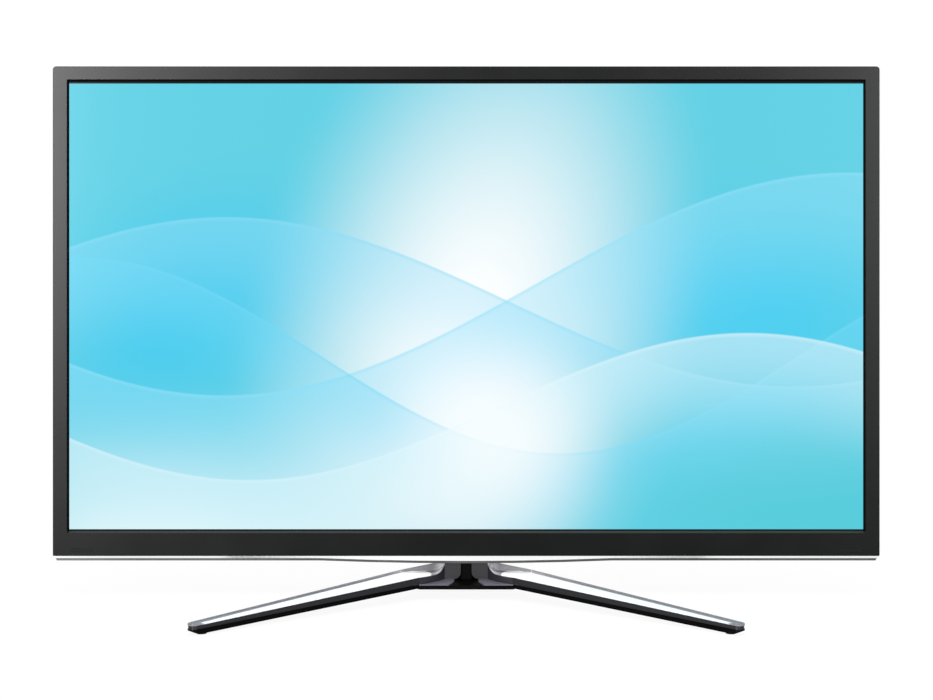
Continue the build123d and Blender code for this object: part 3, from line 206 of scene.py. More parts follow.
# soft oval patch over what is below, strongest in its middle and nothing past its rim
def patchOver(below, look):
    tree = pictureTree
    leaning = addNode(tree, mathNode, {0: pictureZ, 1: -look["lean"], 2: pictureX}, operation="MULTIPLY_ADD")
    squares = []
    for value, centre, radius in zip((leaning, pictureZ), look["at"], look["radius"]):
        offset = addNode(tree, mathNode, {0: value, 1: centre}, operation="SUBTRACT")
        radii = addNode(tree, mathNode, {0: offset, 1: radius}, operation="DIVIDE")
        squares.append(addNode(tree, mathNode, {0: radii, 1: radii}, operation="MULTIPLY"))
    total = addNode(tree, mathNode, {0: squares[0], 1: squares[1]}, operation="ADD")
    far = addNode(tree, mathNode, {0: total}, operation="SQRT")
    soft = addNode(tree, rangeNode, {"Value": far, "To Min": 1.0, "To Max": 0.0}, interpolation_type="SMOOTHSTEP")
    cover = addNode(tree, mathNode, {0: soft, 1: look["most"]}, operation="MULTIPLY")
    return addNode(tree, mixNode, {0: cover, 6: below, 7: rgb(look["colour"])}, data_type="RGBA").outputs[2]


# a translucent sheet below a wavy edge, brightest at the edge
def sheetOver(below, look):
    tree = pictureTree
    turn = addNode(tree, mathNode, {0: pictureX, 1: look["pace"], 2: look["phase"]}, operation="MULTIPLY_ADD")
    wave = addNode(tree, mathNode, {0: turn}, operation="SINE")
    edge = addNode(tree, mathNode, {0: wave, 1: look["swing"], 2: look["level"]}, operation="MULTIPLY_ADD")
    under = addNode(tree, mathNode, {0: edge, 1: pictureZ}, operation="SUBTRACT")
    inside = addNode(tree, rangeNode, {"Value": under, "From Min": -picture["edgeSoft"],
                                       "From Max": picture["edgeSoft"]})
    fade = addNode(tree, rangeNode, {"Value": under, "From Max": look["depth"], "To Min": look["most"],
                                     "To Max": 0.0}, interpolation_type="SMOOTHSTEP")
    rim = addNode(tree, rangeNode, {"Value": under, "From Max": picture["rimDeep"],
                                    "To Min": picture["rimMost"], "To Max": 0.0})
    bright = addNode(tree, mathNode, {0: fade, 1: rim}, operation="ADD")
    cover = addNode(tree, mathNode, {0: inside, 1: bright}, operation="MULTIPLY")
    return addNode(tree, mixNode, {0: cover, 6: below, 7: rgb(look["colour"])}, data_type="RGBA").outputs[2]


field = rgb(picture["field"])
for patchLook in patches:
    field = patchOver(field, patchLook)
for sheetLook in sheets:
    field = sheetOver(field, sheetLook)
field = patchOver(field, lastGlow)
within = []
for measure in (pictureX, pictureZ):
    fromCentre = addNode(pictureTree, mathNode, {0: measure}, operation="ABSOLUTE")
    within.append(addNode(pictureTree, mathNode, {0: fromCentre, 1: 1.0}, operation="LESS_THAN"))
lit = addNode(pictureTree, mathNode, {0: within[0], 1: within[1]}, operation="MULTIPLY")
shader = addNode(pictureTree, "ShaderNodeBsdfPrincipled", {
    "Base Color": rgb(picture["glass"]), "Roughness": 0.12, "IOR": 1.5, "Specular IOR Level": 0.15,
    "Emission Color": field, "Emission Strength": lit})
addNode(pictureTree, "ShaderNodeOutputMaterial", {"Surface": shader})
print("picture is drawn")


# finishes of the CAD nodes, each named for what the real piece is made of, with the nodes that wear it
finishLooks = {
    "bezelPlastic": {  # piano black with a slightly soft reflection
        "name": "high gloss black ABS", "colours": ("040505", "060707"), "rough": (0.31, 0.34),
        "specular": 0.08, "grainMm": 3.0, "reliefMm": 0.002, "worn": ["front_bezel"]},
    "trimChrome": {  # mirror with faint drawn streaks
        "name": "bright nickel chrome plating", "colours": ("e2e3e4", "eeeeee"), "rough": (0.12, 0.2),
        "metal": 1.0, "grainMm": 2.0, "reliefMm": 0.001, "stretch": (0.1, 1, 1), "worn": ["chrome_strip"]},
    "lipPlastic": {  # dark rail that catches the floor
        "name": "satin grey ABS", "colours": ("161717", "1c1d1d"), "rough": (0.3, 0.4),
        "grainMm": 1.0, "reliefMm": 0.003, "worn": ["lower_lip"]},
    "sealFoam": {  # dull and pitted
        "name": "closed cell foam", "colours": ("040405", "070708"), "rough": (0.85, 0.95),
        "specular": 0.05, "grainMm": 0.7, "reliefMm": 0.06, "worn": ["light_seal"]},
    "framePlastic": {  # plain moulded frame
        "name": "black polycarbonate", "colours": ("0b0b0c", "111113"), "rough": (0.5, 0.6),
        "grainMm": 0.9, "reliefMm": 0.01, "worn": ["mid_frame"]},
    "sheetFilm": {  # bright optical film
        "name": "white polyester film", "colours": ("e8e9ea", "f2f2f2"), "rough": (0.3, 0.4),
        "grainMm": 0.5, "reliefMm": 0.002, "worn": ["prism_sheet", "diffuser_sheet", "reflector_sheet"]},
    "guideAcrylic": {  # polished and slightly green
        "name": "clear acrylic sheet", "colours": ("d8e2e2", "e4ecec"), "rough": (0.05, 0.1), "ior": 1.49,
        "grainMm": 4.0, "reliefMm": 0.001, "worn": ["light_guide"]},
    "ledStrip": {  # chalky strip
        "name": "white solder mask on aluminium", "colours": ("d6d4c4", "e6e4d8"), "rough": (0.4, 0.5),
        "grainMm": 1.0, "reliefMm": 0.004, "worn": ["led_bar"]},
    "chassisSteel": {  # mottled spangle
        "name": "zinc plated sheet steel", "colours": ("8f9294", "a4a7a8"), "rough": (0.3, 0.45), "metal": 1.0,
        "grainMm": 1.5, "cloudMm": 18.0, "reliefMm": 0.004, "worn": ["backplate", "stand_bracket", "vesa_mount"]},
    "coverPlastic": {  # matt grain on the back
        "name": "spark eroded black ABS", "colours": ("101011", "151516"), "rough": (0.55, 0.68),
        "specular": 0.45, "grainMm": 0.9, "reliefMm": 0.05, "worn": ["rear_cover", "rear_housing"]},
    "screwSteel": {  # dark and slightly shiny
        "name": "black zinc steel", "colours": ("3a3a3d", "4c4c50"), "rough": (0.35, 0.45), "metal": 0.9,
        "grainMm": 0.6, "reliefMm": 0.004, "worn": ["cover_screws", "stand_screws", "board_screws"]},
    "standoffBrass": {  # warm turned metal
        "name": "turned brass", "colours": ("b08d3e", "c7a455"), "rough": (0.25, 0.35), "metal": 1.0,
        "grainMm": 0.5, "reliefMm": 0.003, "worn": ["board_standoffs"]},
    "boardLaminate": {  # solder mask sheen
        "name": "green glass epoxy laminate", "colours": ("0d4a2a", "115a33"), "rough": (0.25, 0.35),
        "grainMm": 1.2, "cloudMm": 8.0, "reliefMm": 0.004,
        "worn": ["main_board", "power_board", "timing_board", "driver_boards", "key_board", "sensor_boards"]},
    "ribbonFilm": {  # pale with long lines
        "name": "polyimide ribbon", "colours": ("c9c2a8", "d8d2bc"), "rough": (0.4, 0.5),
        "grainMm": 1.0, "reliefMm": 0.004, "stretch": (4, 1, 0.1), "worn": ["panel_ribbons"]},
    "sinkAluminium": {  # drawn lines along the fins
        "name": "extruded aluminium", "colours": ("a2a4a7", "b6b8ba"), "rough": (0.35, 0.45), "metal": 1.0,
        "grainMm": 0.8, "reliefMm": 0.006, "stretch": (1, 1, 0.05), "worn": ["heat_sinks"]},
    "transformerFerrite": {  # dull grey black
        "name": "sintered ferrite", "colours": ("1d1d1f", "28282a"), "rough": (0.6, 0.75),
        "grainMm": 0.6, "reliefMm": 0.02, "worn": ["transformer"]},
    "capacitorSleeve": {  # dark blue skin
        "name": "shrunk PVC sleeve", "colours": ("101b33", "16233f"), "rough": (0.2, 0.3),
        "grainMm": 2.0, "reliefMm": 0.002, "worn": ["capacitors"]},
    "socketShell": {  # bright pressed shell
        "name": "nickel plated steel", "colours": ("b4b4b2", "c6c6c4"), "rough": (0.22, 0.32), "metal": 1.0,
        "grainMm": 0.6, "reliefMm": 0.002, "worn": ["hdmi_sockets", "usb_sockets", "aerial_socket"]},
    "socketPlastic": {  # moulded socket body
        "name": "black nylon", "colours": ("0a0a0b", "101012"), "rough": (0.45, 0.55),
        "grainMm": 0.6, "reliefMm": 0.008,
        "worn": ["lan_socket", "av_sockets", "headphone_socket", "power_inlet", "key_switches"]},
    "vgaBlue": {  # the usual blue of a video socket
        "name": "blue moulded nylon", "colours": ("16306e", "1c3b82"), "rough": (0.4, 0.5),
        "grainMm": 0.6, "reliefMm": 0.006, "worn": ["vga_socket"]},
    "jackSteel": {  # grey plate
        "name": "galvanised steel", "colours": ("7d8082", "909395"), "rough": (0.35, 0.5), "metal": 1.0,
        "grainMm": 1.2, "cloudMm": 14.0, "reliefMm": 0.004, "worn": ["jack_plates"]},
    "pinBrass": {  # pale pins
        "name": "tin plated brass", "colours": ("c9c1a2", "d6cfb6"), "rough": (0.2, 0.3), "metal": 1.0,
        "grainMm": 0.6, "reliefMm": 0.002, "worn": ["inlet_pins"]},
    "speakerPlastic": {  # plain dark box
        "name": "black polystyrene", "colours": ("0b0b0c", "121214"), "rough": (0.45, 0.55),
        "grainMm": 0.8, "reliefMm": 0.01, "worn": ["speaker_boxes"]},
    "speakerCone": {  # felted paper
        "name": "treated paper cone", "colours": ("0e0e0f", "161618"), "rough": (0.7, 0.8),
        "grainMm": 0.6, "reliefMm": 0.03, "worn": ["speaker_drivers"]},
    "windowPlastic": {  # smoother than the bezel round it
        "name": "tinted acrylic", "colours": ("070808", "0a0b0b"), "rough": (0.2, 0.25), "ior": 1.49,
        "specular": 0.14, "grainMm": 3.0, "reliefMm": 0.001, "worn": ["sensor_windows"]},
    "keyPlastic": {  # slightly lighter than the cover
        "name": "satin black ABS", "colours": ("18181a", "1e1e20"), "rough": (0.4, 0.5),
        "grainMm": 0.7, "reliefMm": 0.006,
        "worn": ["power_key", "source_key", "menu_key", "channel_up_key", "channel_down_key",
                 "volume_up_key", "volume_down_key"]},
    "trayPlastic": {  # black underside of the leg
        "name": "gloss black polycarbonate", "colours": ("030303", "040404"), "rough": (0.3, 0.38),
        "specular": 0.03, "grainMm": 3.0, "reliefMm": 0.001, "worn": ["leg_trays"]},
    "baseMetal": {  # deep black of the base and the neck core
        "name": "black lacquered steel", "colours": ("030303", "040404"), "rough": (0.3, 0.38),
        "specular": 0.03, "grainMm": 2.0, "reliefMm": 0.002, "worn": ["stand_base", "neck_core"]},
    "footRubber": {  # dull pads
        "name": "soft black rubber", "colours": ("0d0d0d", "141414"), "rough": (0.8, 0.9),
        "grainMm": 0.8, "reliefMm": 0.02, "worn": ["stand_feet"]},
    "leadSleeve": {  # soft dark leads
        "name": "PVC lead sleeve", "colours": ("141416", "1e1e20"), "rough": (0.5, 0.6),
        "grainMm": 1.0, "reliefMm": 0.01, "worn": ["internal_leads"]},
}


def dress(name, finish):
    for held in cadNodes[name].material_slots:
        held.material = finish


finishes = {}
for finishName, look in finishLooks.items():
    worn = look.pop("worn")
    finishes[finishName] = grained(**look)
    for name in worn:
        dress(name, finishes[finishName])
dress("lcd_panel", lcdGlass)
print("plain finishes are on")


# leg cover: white satin top; a grey band along the back and round the tip is painted shade and reflection of a
# rounded plated rim; a silver curl at the neck is painted from shade to light
coverLook = {
    "root": (0.0658, 0.0376), "turn": 39.32, "run": 0.2950, "rootHalf": 0.018, "tipHalf": 0.0072,
    "edgeWide": 0.0034, "edgeGrows": 0.0062, "edgeSoft": 0.0012, "tipStart": 0.0095, "legSoft": 0.002,
    "flatTop": 0.0268, "crestFrom": (0.0363, 0.0352), "crestTo": (0.0772, 0.0290), "crestWide": 0.0036,
    "crestGrows": 0.2, "crestGrowsFrom": 0.064, "crestSoft": 0.0004,
    "curlEnd": 0.0405, "curlMiddle": 0.036, "curlRound": 18.0, "curlMost": 0.052, "curlPale": 0.0275,
    "curlSoft": 0.0008, "grainMm": 2.5, "reliefMm": 0.002, "rough": (0.45, 0.6), "specular": 0.3,
    # edge: painted shade and reflection of the rounded plated rim; curl: silver, painted from shade to light
    "white": "f9f9fa", "edge": ("7a797e", "88878c"), "curl": ("86858a", "efeef3"),
}
legSatin, tree = blankMaterial("white lacquer with a plated edge")
place = addNode(tree, placeNode)
spot = addNode(tree, splitNode, {"Vector": place.outputs["Object"]})
outward = addNode(tree, mathNode, {0: spot.outputs["X"]}, operation="ABSOLUTE")  # the same on both legs

# distances along and across the leg, from its root
turn = math.radians(coverLook["turn"])
fromRootX = addNode(tree, mathNode, {0: outward, 1: coverLook["root"][0]}, operation="SUBTRACT")
fromRootY = addNode(tree, mathNode, {0: spot.outputs["Y"], 1: coverLook["root"][1]}, operation="SUBTRACT")
legWays = []
for shareX, shareY in ((math.cos(turn), -math.sin(turn)), (math.sin(turn), math.cos(turn))):
    partX = addNode(tree, mathNode, {0: fromRootX, 1: shareX}, operation="MULTIPLY")
    partY = addNode(tree, mathNode, {0: fromRootY, 1: shareY}, operation="MULTIPLY")
    legWays.append(addNode(tree, mathNode, {0: partX, 1: partY}, operation="ADD"))
along, across = legWays

# painted shade of the rounded plated rim on the outer leg: a grey band that widens to the tip, and the tip itself
runShare = addNode(tree, mathNode, {0: along, 1: coverLook["run"]}, operation="DIVIDE")
halfHere = addNode(tree, mathNode, {0: runShare, 1: coverLook["tipHalf"] - coverLook["rootHalf"],
                                    2: coverLook["rootHalf"]}, operation="MULTIPLY_ADD")
edgeHere = addNode(tree, mathNode, {0: runShare, 1: coverLook["edgeGrows"], 2: coverLook["edgeWide"]},
                   operation="MULTIPLY_ADD")
edgeStart = addNode(tree, mathNode, {0: halfHere, 1: edgeHere}, operation="SUBTRACT")
pastEdge = addNode(tree, mathNode, {0: across, 1: edgeStart}, operation="SUBTRACT")
onEdge = addNode(tree, rangeNode, {"Value": pastEdge, "From Min": -coverLook["edgeSoft"],
                                   "From Max": coverLook["edgeSoft"]}, interpolation_type="SMOOTHSTEP")
tipFrom = coverLook["run"] - coverLook["tipStart"]
onTip = addNode(tree, rangeNode, {"Value": along, "From Min": tipFrom,
                                  "From Max": tipFrom + coverLook["tipStart"] / 2},
                interpolation_type="SMOOTHSTEP")
onLeg = addNode(tree, rangeNode, {"Value": outward, "From Min": coverLook["crestTo"][0] - coverLook["legSoft"],
                                  "From Max": coverLook["crestTo"][0]}, interpolation_type="SMOOTHSTEP")
edgeOrTip = addNode(tree, mathNode, {0: onEdge, 1: onTip}, operation="MAXIMUM")
legEdge = addNode(tree, mathNode, {0: edgeOrTip, 1: onLeg}, operation="MULTIPLY")

# painted shade of the plated rim under the crest of the wing that climbs to the neck
crestRun = coverLook["crestTo"][0] - coverLook["crestFrom"][0]
crestSlope = (coverLook["crestTo"][1] - coverLook["crestFrom"][1]) / crestRun
fromCrest = addNode(tree, mathNode, {0: outward, 1: coverLook["crestFrom"][0]}, operation="SUBTRACT")
crest = addNode(tree, mathNode, {0: fromCrest, 1: crestSlope, 2: coverLook["crestFrom"][1]},
                operation="MULTIPLY_ADD")
belowCrest = addNode(tree, mathNode, {0: crest, 1: spot.outputs["Z"]}, operation="SUBTRACT")
inwardBy = addNode(tree, mathNode, {0: coverLook["crestGrowsFrom"], 1: outward}, operation="SUBTRACT")
nearer = addNode(tree, mathNode, {0: inwardBy, 1: 0.0}, operation="MAXIMUM")
crestHere = addNode(tree, mathNode, {0: nearer, 1: coverLook["crestGrows"], 2: coverLook["crestWide"]},
                    operation="MULTIPLY_ADD")
pastCrest = addNode(tree, mathNode, {0: belowCrest, 1: crestHere}, operation="SUBTRACT")
underCrest = addNode(tree, rangeNode, {"Value": pastCrest, "From Min": coverLook["crestSoft"],
                                       "From Max": -coverLook["crestSoft"]}, interpolation_type="SMOOTHSTEP")
raised = addNode(tree, mathNode, {0: spot.outputs["Z"], 1: coverLook["flatTop"]}, operation="GREATER_THAN")
offLeg = addNode(tree, mathNode, {0: 1.0, 1: onLeg}, operation="SUBTRACT")
onWing = addNode(tree, mathNode, {0: raised, 1: offLeg}, operation="MULTIPLY")
wing = addNode(tree, mathNode, {0: underCrest, 1: onWing}, operation="MULTIPLY")
rimPaintedShade = addNode(tree, mathNode, {0: legEdge, 1: wing}, operation="MAXIMUM")

# silver curl beside the neck, with a rounded outer end; its grey to white run is painted shade of the curved
# fillet
fromMiddle = addNode(tree, mathNode, {0: spot.outputs["Y"], 1: coverLook["curlMiddle"]}, operation="SUBTRACT")
middleSquare = addNode(tree, mathNode, {0: fromMiddle, 1: fromMiddle}, operation="MULTIPLY")
curlEdge = addNode(tree, mathNode, {0: middleSquare, 1: coverLook["curlRound"], 2: coverLook["curlEnd"]},
                   operation="MULTIPLY_ADD")
curlLimit = addNode(tree, mathNode, {0: curlEdge, 1: coverLook["curlMost"]}, operation="MINIMUM")
pastCurl = addNode(tree, mathNode, {0: outward, 1: curlLimit}, operation="SUBTRACT")
curl = addNode(tree, rangeNode, {"Value": pastCurl, "From Min": coverLook["curlSoft"],
                                 "From Max": -coverLook["curlSoft"]}, interpolation_type="SMOOTHSTEP")
# painted shade: grey at the curl's outer end, paler nearer the neck
curlPaintedShadeFade = addNode(tree, rangeNode, {"Value": outward, "From Min": coverLook["curlEnd"],
                                    "From Max": coverLook["curlPale"]}, interpolation_type="SMOOTHSTEP")

grain = addNode(tree, noiseNode, {"Vector": place.outputs["Object"], "Scale": 1000 / coverLook["grainMm"],
                                  "Detail": 3.0})
# grey of the rim: painted shade and reflection, with a fine grain
plated = addNode(tree, mixNode, {0: grain, 6: rgb(coverLook["edge"][0]), 7: rgb(coverLook["edge"][1])},
                 data_type="RGBA").outputs[2]
# silver of the curl, its grey to white run painted shade
curlSilverAndShade = addNode(tree, mixNode, {0: curlPaintedShadeFade, 6: rgb(coverLook["curl"][0]), 7: rgb(coverLook["curl"][1])},
                 data_type="RGBA").outputs[2]
# painted rim shade laid over the white top, then the silver curl with its painted shade
paint = addNode(tree, mixNode, {0: rimPaintedShade, 6: rgb(coverLook["white"]), 7: plated}, data_type="RGBA").outputs[2]
paint = addNode(tree, mixNode, {0: curl, 6: paint, 7: curlSilverAndShade}, data_type="RGBA").outputs[2]
notWhite = addNode(tree, mathNode, {0: rimPaintedShade, 1: curl}, operation="MAXIMUM")
polish = addNode(tree, rangeNode, {"Value": notWhite, "To Min": coverLook["rough"][0],
                                   "To Max": coverLook["rough"][1]})
relief = addNode(tree, "ShaderNodeBump", {"Height": grain, "Strength": 0.4,
                                          "Distance": coverLook["reliefMm"] * mm})
shader = addNode(tree, "ShaderNodeBsdfPrincipled", {
    "Base Color": paint, "Roughness": polish, "Normal": relief, "Specular IOR Level": coverLook["specular"]})
addNode(tree, "ShaderNodeOutputMaterial", {"Surface": shader})
dress("leg_cover_left", legSatin)
dress("leg_cover_right", legSatin)

# leg casting: dark bluish lacquer; near the neck it takes the neck's graphite tone, spread out as painted light,
# and the flat toe in front of the neck is painted lighter as painted light
castingLook = {"body": ("16161a", "1b1b20"), "neck": "323137", "toe": "64626f", "toeTop": 0.0177,
               "toeHalf": 0.060, "neckHalf": 0.044, "grainMm": 1.5, "reliefMm": 0.003, "rough": 0.36,
               "specular": 0.2}
legLacquer, tree = blankMaterial("graphite lacquer on cast zinc")
place = addNode(tree, placeNode)
spot = addNode(tree, splitNode, {"Vector": place.outputs["Object"]})
outward = addNode(tree, mathNode, {0: spot.outputs["X"]}, operation="ABSOLUTE")
fleck = addNode(tree, noiseNode, {"Vector": place.outputs["Object"], "Scale": 1000 / castingLook["grainMm"],
                                  "Detail": 3.0})
# the neck's graphite tone, blended out over the block's side face as painted light so its shade matches the neck
# face
nearNeckPaintedLight = addNode(tree, rangeNode, {"Value": outward, "From Min": castingLook["toeHalf"],
                                     "From Max": castingLook["neckHalf"]}, interpolation_type="SMOOTHSTEP")
lowEnough = addNode(tree, mathNode, {0: spot.outputs["Z"], 1: castingLook["toeTop"]}, operation="LESS_THAN")
nearEnough = addNode(tree, mathNode, {0: outward, 1: castingLook["toeHalf"]}, operation="LESS_THAN")
onToePaintedLight = addNode(tree, mathNode, {0: lowEnough, 1: nearEnough}, operation="MULTIPLY")
paint = addNode(tree, mixNode, {0: fleck, 6: rgb(castingLook["body"][0]), 7: rgb(castingLook["body"][1])},
                data_type="RGBA").outputs[2]
# the toe's lighter colour is painted light; the neck tone is the neck's graphite, spread over the side face as
# painted light
for cover, colour in ((nearNeckPaintedLight, castingLook["neck"]), (onToePaintedLight, castingLook["toe"])):
    paint = addNode(tree, mixNode, {0: cover, 6: paint, 7: rgb(colour)}, data_type="RGBA").outputs[2]
relief = addNode(tree, "ShaderNodeBump", {"Height": fleck, "Strength": 0.4,
                                          "Distance": castingLook["reliefMm"] * mm})
shader = addNode(tree, "ShaderNodeBsdfPrincipled", {
    "Base Color": paint, "Normal": relief, "Roughness": castingLook["rough"],
    "Specular IOR Level": castingLook["specular"]})
addNode(tree, "ShaderNodeOutputMaterial", {"Surface": shader})
dress("leg_casting_left", legLacquer)
dress("leg_casting_right", legLacquer)
print("leg finishes are on")


# reveal that lines the slope between the bezel face and the glass, with a paler sill at the bottom: painted light
# where the slope faces up
revealLook = {"halfWidth": 0.46702, "low": 0.0729, "high": 0.60341, "faceY": 0.0466,
              "innerHalf": 0.46602, "innerLow": 0.0746, "innerHigh": 0.60171, "glassY": 0.05195,
              "coat": ("020203", "050607"), "sillPaintedLight": "3a3e3d", "sillH": 0.0002, "grainMm": 1.2}
revealMiddle = (revealLook["low"] + revealLook["high"]) / 2
innerMiddle = (revealLook["innerHigh"] + revealLook["innerLow"]) / 2
inset = revealLook["halfWidth"] - revealLook["innerHalf"]
bpy.ops.object.select_all(action="DESELECT")
bpy.ops.mesh.primitive_plane_add(size=2, location=(0, revealLook["faceY"], revealMiddle),
                                 rotation=(quarterTurn, 0, 0))
reveal = bpy.context.object
reveal.name = "bezelReveal"
reveal.scale = (revealLook["halfWidth"], (revealLook["high"] - revealLook["low"]) / 2, 1)
bpy.ops.object.transform_apply(location=True, rotation=True, scale=True)
bpy.ops.object.mode_set(mode="EDIT")
bpy.ops.mesh.select_all(action="SELECT")
bpy.ops.mesh.inset(thickness=inset)
insetHigh = revealLook["high"] - revealLook["low"] - 2 * inset
taller = (revealLook["innerHigh"] - revealLook["innerLow"]) / insetHigh
bpy.ops.transform.resize(value=(1, 1, taller), center_override=(0, 0, revealMiddle))
bpy.ops.transform.translate(value=(0, revealLook["glassY"] - revealLook["faceY"], innerMiddle - revealMiddle))
bpy.ops.mesh.delete(type="FACE")
bpy.ops.object.mode_set(mode="OBJECT")
mattCoat, tree = blankMaterial("matt black soft touch coat")  # swallows light, so the picture's edge stays crisp
place = addNode(tree, placeNode)
spot = addNode(tree, splitNode, {"Vector": place.outputs["Object"]})
dust = addNode(tree, noiseNode, {"Vector": place.outputs["Object"], "Scale": 1000 / revealLook["grainMm"],
                                 "Detail": 2.0})
# the sill's paler colour is painted light where the slope faces up
onSillPaintedLight = addNode(tree, mathNode, {0: spot.outputs["Z"], 1: revealLook["innerLow"] + revealLook["sillH"]},
                 operation="LESS_THAN")
coat = addNode(tree, mixNode, {0: dust, 6: rgb(revealLook["coat"][0]), 7: rgb(revealLook["coat"][1])},
               data_type="RGBA").outputs[2]
coat = addNode(tree, mixNode, {0: onSillPaintedLight, 6: coat, 7: rgb(revealLook["sillPaintedLight"])}, data_type="RGBA").outputs[2]
shader = addNode(tree, "ShaderNodeBsdfPrincipled", {
    "Base Color": coat, "Roughness": 0.9, "Specular IOR Level": 0.03})
addNode(tree, "ShaderNodeOutputMaterial", {"Surface": shader})
reveal.data.materials.append(mattCoat)
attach(reveal, "set")
print("bezel reveal is in")


# faces that pass a test are picked, and everything else is let go
def pickFaces(piece, test):
    bpy.ops.object.mode_set(mode="EDIT")
    bpy.ops.mesh.select_mode(type="FACE")
    bpy.ops.mesh.select_all(action="DESELECT")
    bpy.ops.object.mode_set(mode="OBJECT")
    for face in piece.data.polygons:
        face.select = test(face)
    bpy.ops.object.mode_set(mode="EDIT")


def growFaces(offset, factor=1.0):
    bpy.ops.mesh.extrude_region_move(TRANSFORM_OT_translate={"value": offset})
    if factor != 1.0:
        bpy.ops.transform.resize(value=(factor, factor, factor))


# the piece goes to the first place, and a copy with its own mesh to each other one
def setOut(piece, places):
    pieces = [piece]
    for place in places[1:]:
        twin = piece.copy()
        twin.data = piece.data.copy()
        twin.location = place
        piece.users_collection[0].objects.link(twin)
        pieces.append(twin)
    piece.location = places[0]
    return pieces


def joinAll(pieces, name):
    bpy.ops.object.select_all(action="DESELECT")
    for piece in pieces:
        piece.select_set(True)
    bpy.context.view_layer.objects.active = pieces[0]
    bpy.ops.object.join()
    joined = bpy.context.object
    joined.name = name
    bpy.ops.object.transform_apply(location=True, rotation=True, scale=True)
    return joined


def finishPiece(piece, finish, smoothTurn=35):
    bpy.ops.object.select_all(action="DESELECT")
    piece.select_set(True)
    bpy.context.view_layer.objects.active = piece
    bpy.ops.object.shade_smooth_by_angle(angle=math.radians(smoothTurn))
    piece.data.materials.clear()
    piece.data.materials.append(finish)
    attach(piece, "set")


# cover screws: a turned shank, a pan head with a rounded edge and a cross recess
screwLook = {
    "shankR": 0.0016, "headR": 0.0032, "headH": 0.0020, "headSteps": ((0.55, 1.0), (0.30, 0.9), (0.15, 0.8)),
    "slotWide": 0.0008, "slotLong": 0.0036, "slotDeep": 0.0011,
    "traySeat": 0.0735, "sideX": 0.46272, "sideZ": (0.1087, 0.33246, 0.55621),
    "topX": (0.14989, 0.29978), "topZ": 0.59071,
    "wellSeat": 0.0703, "wells": ((0.308, 0.3815), (0.070, 0.200)),
}
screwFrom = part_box("cover_screws")[0][1]


def turnedScrew(seat):
    look = screwLook
    bpy.ops.object.select_all(action="DESELECT")
    bpy.ops.mesh.primitive_cylinder_add(vertices=40, radius=look["shankR"], depth=seat - screwFrom,
                                        location=(0, (seat + screwFrom) / 2, 0), rotation=(quarterTurn, 0, 0))
    screw = bpy.context.object
    bpy.ops.object.transform_apply(location=True, rotation=True, scale=True)
    pickFaces(screw, lambda face: face.normal.y > 0.9)
    growFaces((0, 0, 0), look["headR"] / look["shankR"])
    for heightShare, factor in look["headSteps"]:
        growFaces((0, look["headH"] * heightShare, 0), factor)
    bpy.ops.object.mode_set(mode="OBJECT")
    for turn in (0, quarterTurn):
        bpy.ops.mesh.primitive_cube_add(size=1, location=(0, seat + look["headH"], 0), rotation=(0, turn, 0))
        cutter = bpy.context.object
        cutter.scale = (look["slotLong"], 2 * look["slotDeep"], look["slotWide"])
        bpy.ops.object.transform_apply(location=True, rotation=True, scale=True)
        bpy.context.view_layer.objects.active = screw
        cut = screw.modifiers.new("crossRecess", "BOOLEAN")
        cut.operation = "DIFFERENCE"
        cut.solver = "EXACT"
        cut.object = cutter
        bpy.ops.object.modifier_apply(modifier=cut.name)
        bpy.data.objects.remove(cutter)
    return screw


trayPlaces = [(side * screwLook["sideX"], 0, z) for side in (-1, 1) for z in screwLook["sideZ"]]
trayPlaces += [(side * x, 0, screwLook["topZ"]) for side in (-1, 1) for x in screwLook["topX"]]
wellPlaces = [(side * x, 0, z) for side in (-1, 1) for x, z in screwLook["wells"]]
screws = []
for seat, places in ((screwLook["traySeat"], trayPlaces), (screwLook["wellSeat"], wellPlaces)):
    screws += setOut(turnedScrew(seat), places)
coverScrews = joinAll(screws, "crossHeadScrews")
finishPiece(coverScrews, finishes["screwSteel"], 30)
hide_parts("cover_screws")
print("cover screws are in")


# contacts of the flat sockets, in rows that run across their way in
contactShape = {"straight": 0.7, "bendLong": 0.15, "bends": ((0.25, 0.85), (0.35, 0.7)), "rounding": 0.2}
rows = [
    {"name": "lanContacts", "along": "Z", "count": 8, "pitch": 0.00102, "wide": 0.0005, "high": 0.0003,
     "length": 0.009, "middles": [(0.1342, 0.07645, 0.1005)]},
    {"name": "hdmiContacts", "along": "X", "count": 10, "pitch": 0.0010, "wide": 0.0005, "high": 0.0002,
     "length": 0.006, "middles": [(0.3135, 0.07760, z) for z in (0.218, 0.246, 0.274)]},
    {"name": "usbContacts", "along": "X", "count": 4, "pitch": 0.0022, "wide": 0.0011, "high": 0.0003,
     "length": 0.007, "middles": [(0.3125, 0.07802, z) for z in (0.168, 0.192)]},
]
# warm bright strips in the sockets
goldContact = grained("gold flashed bronze", ("c79a3c", "dcb458"), (0.22, 0.3), metal=1.0, grainMm=0.4,
                      reliefMm=0.001)


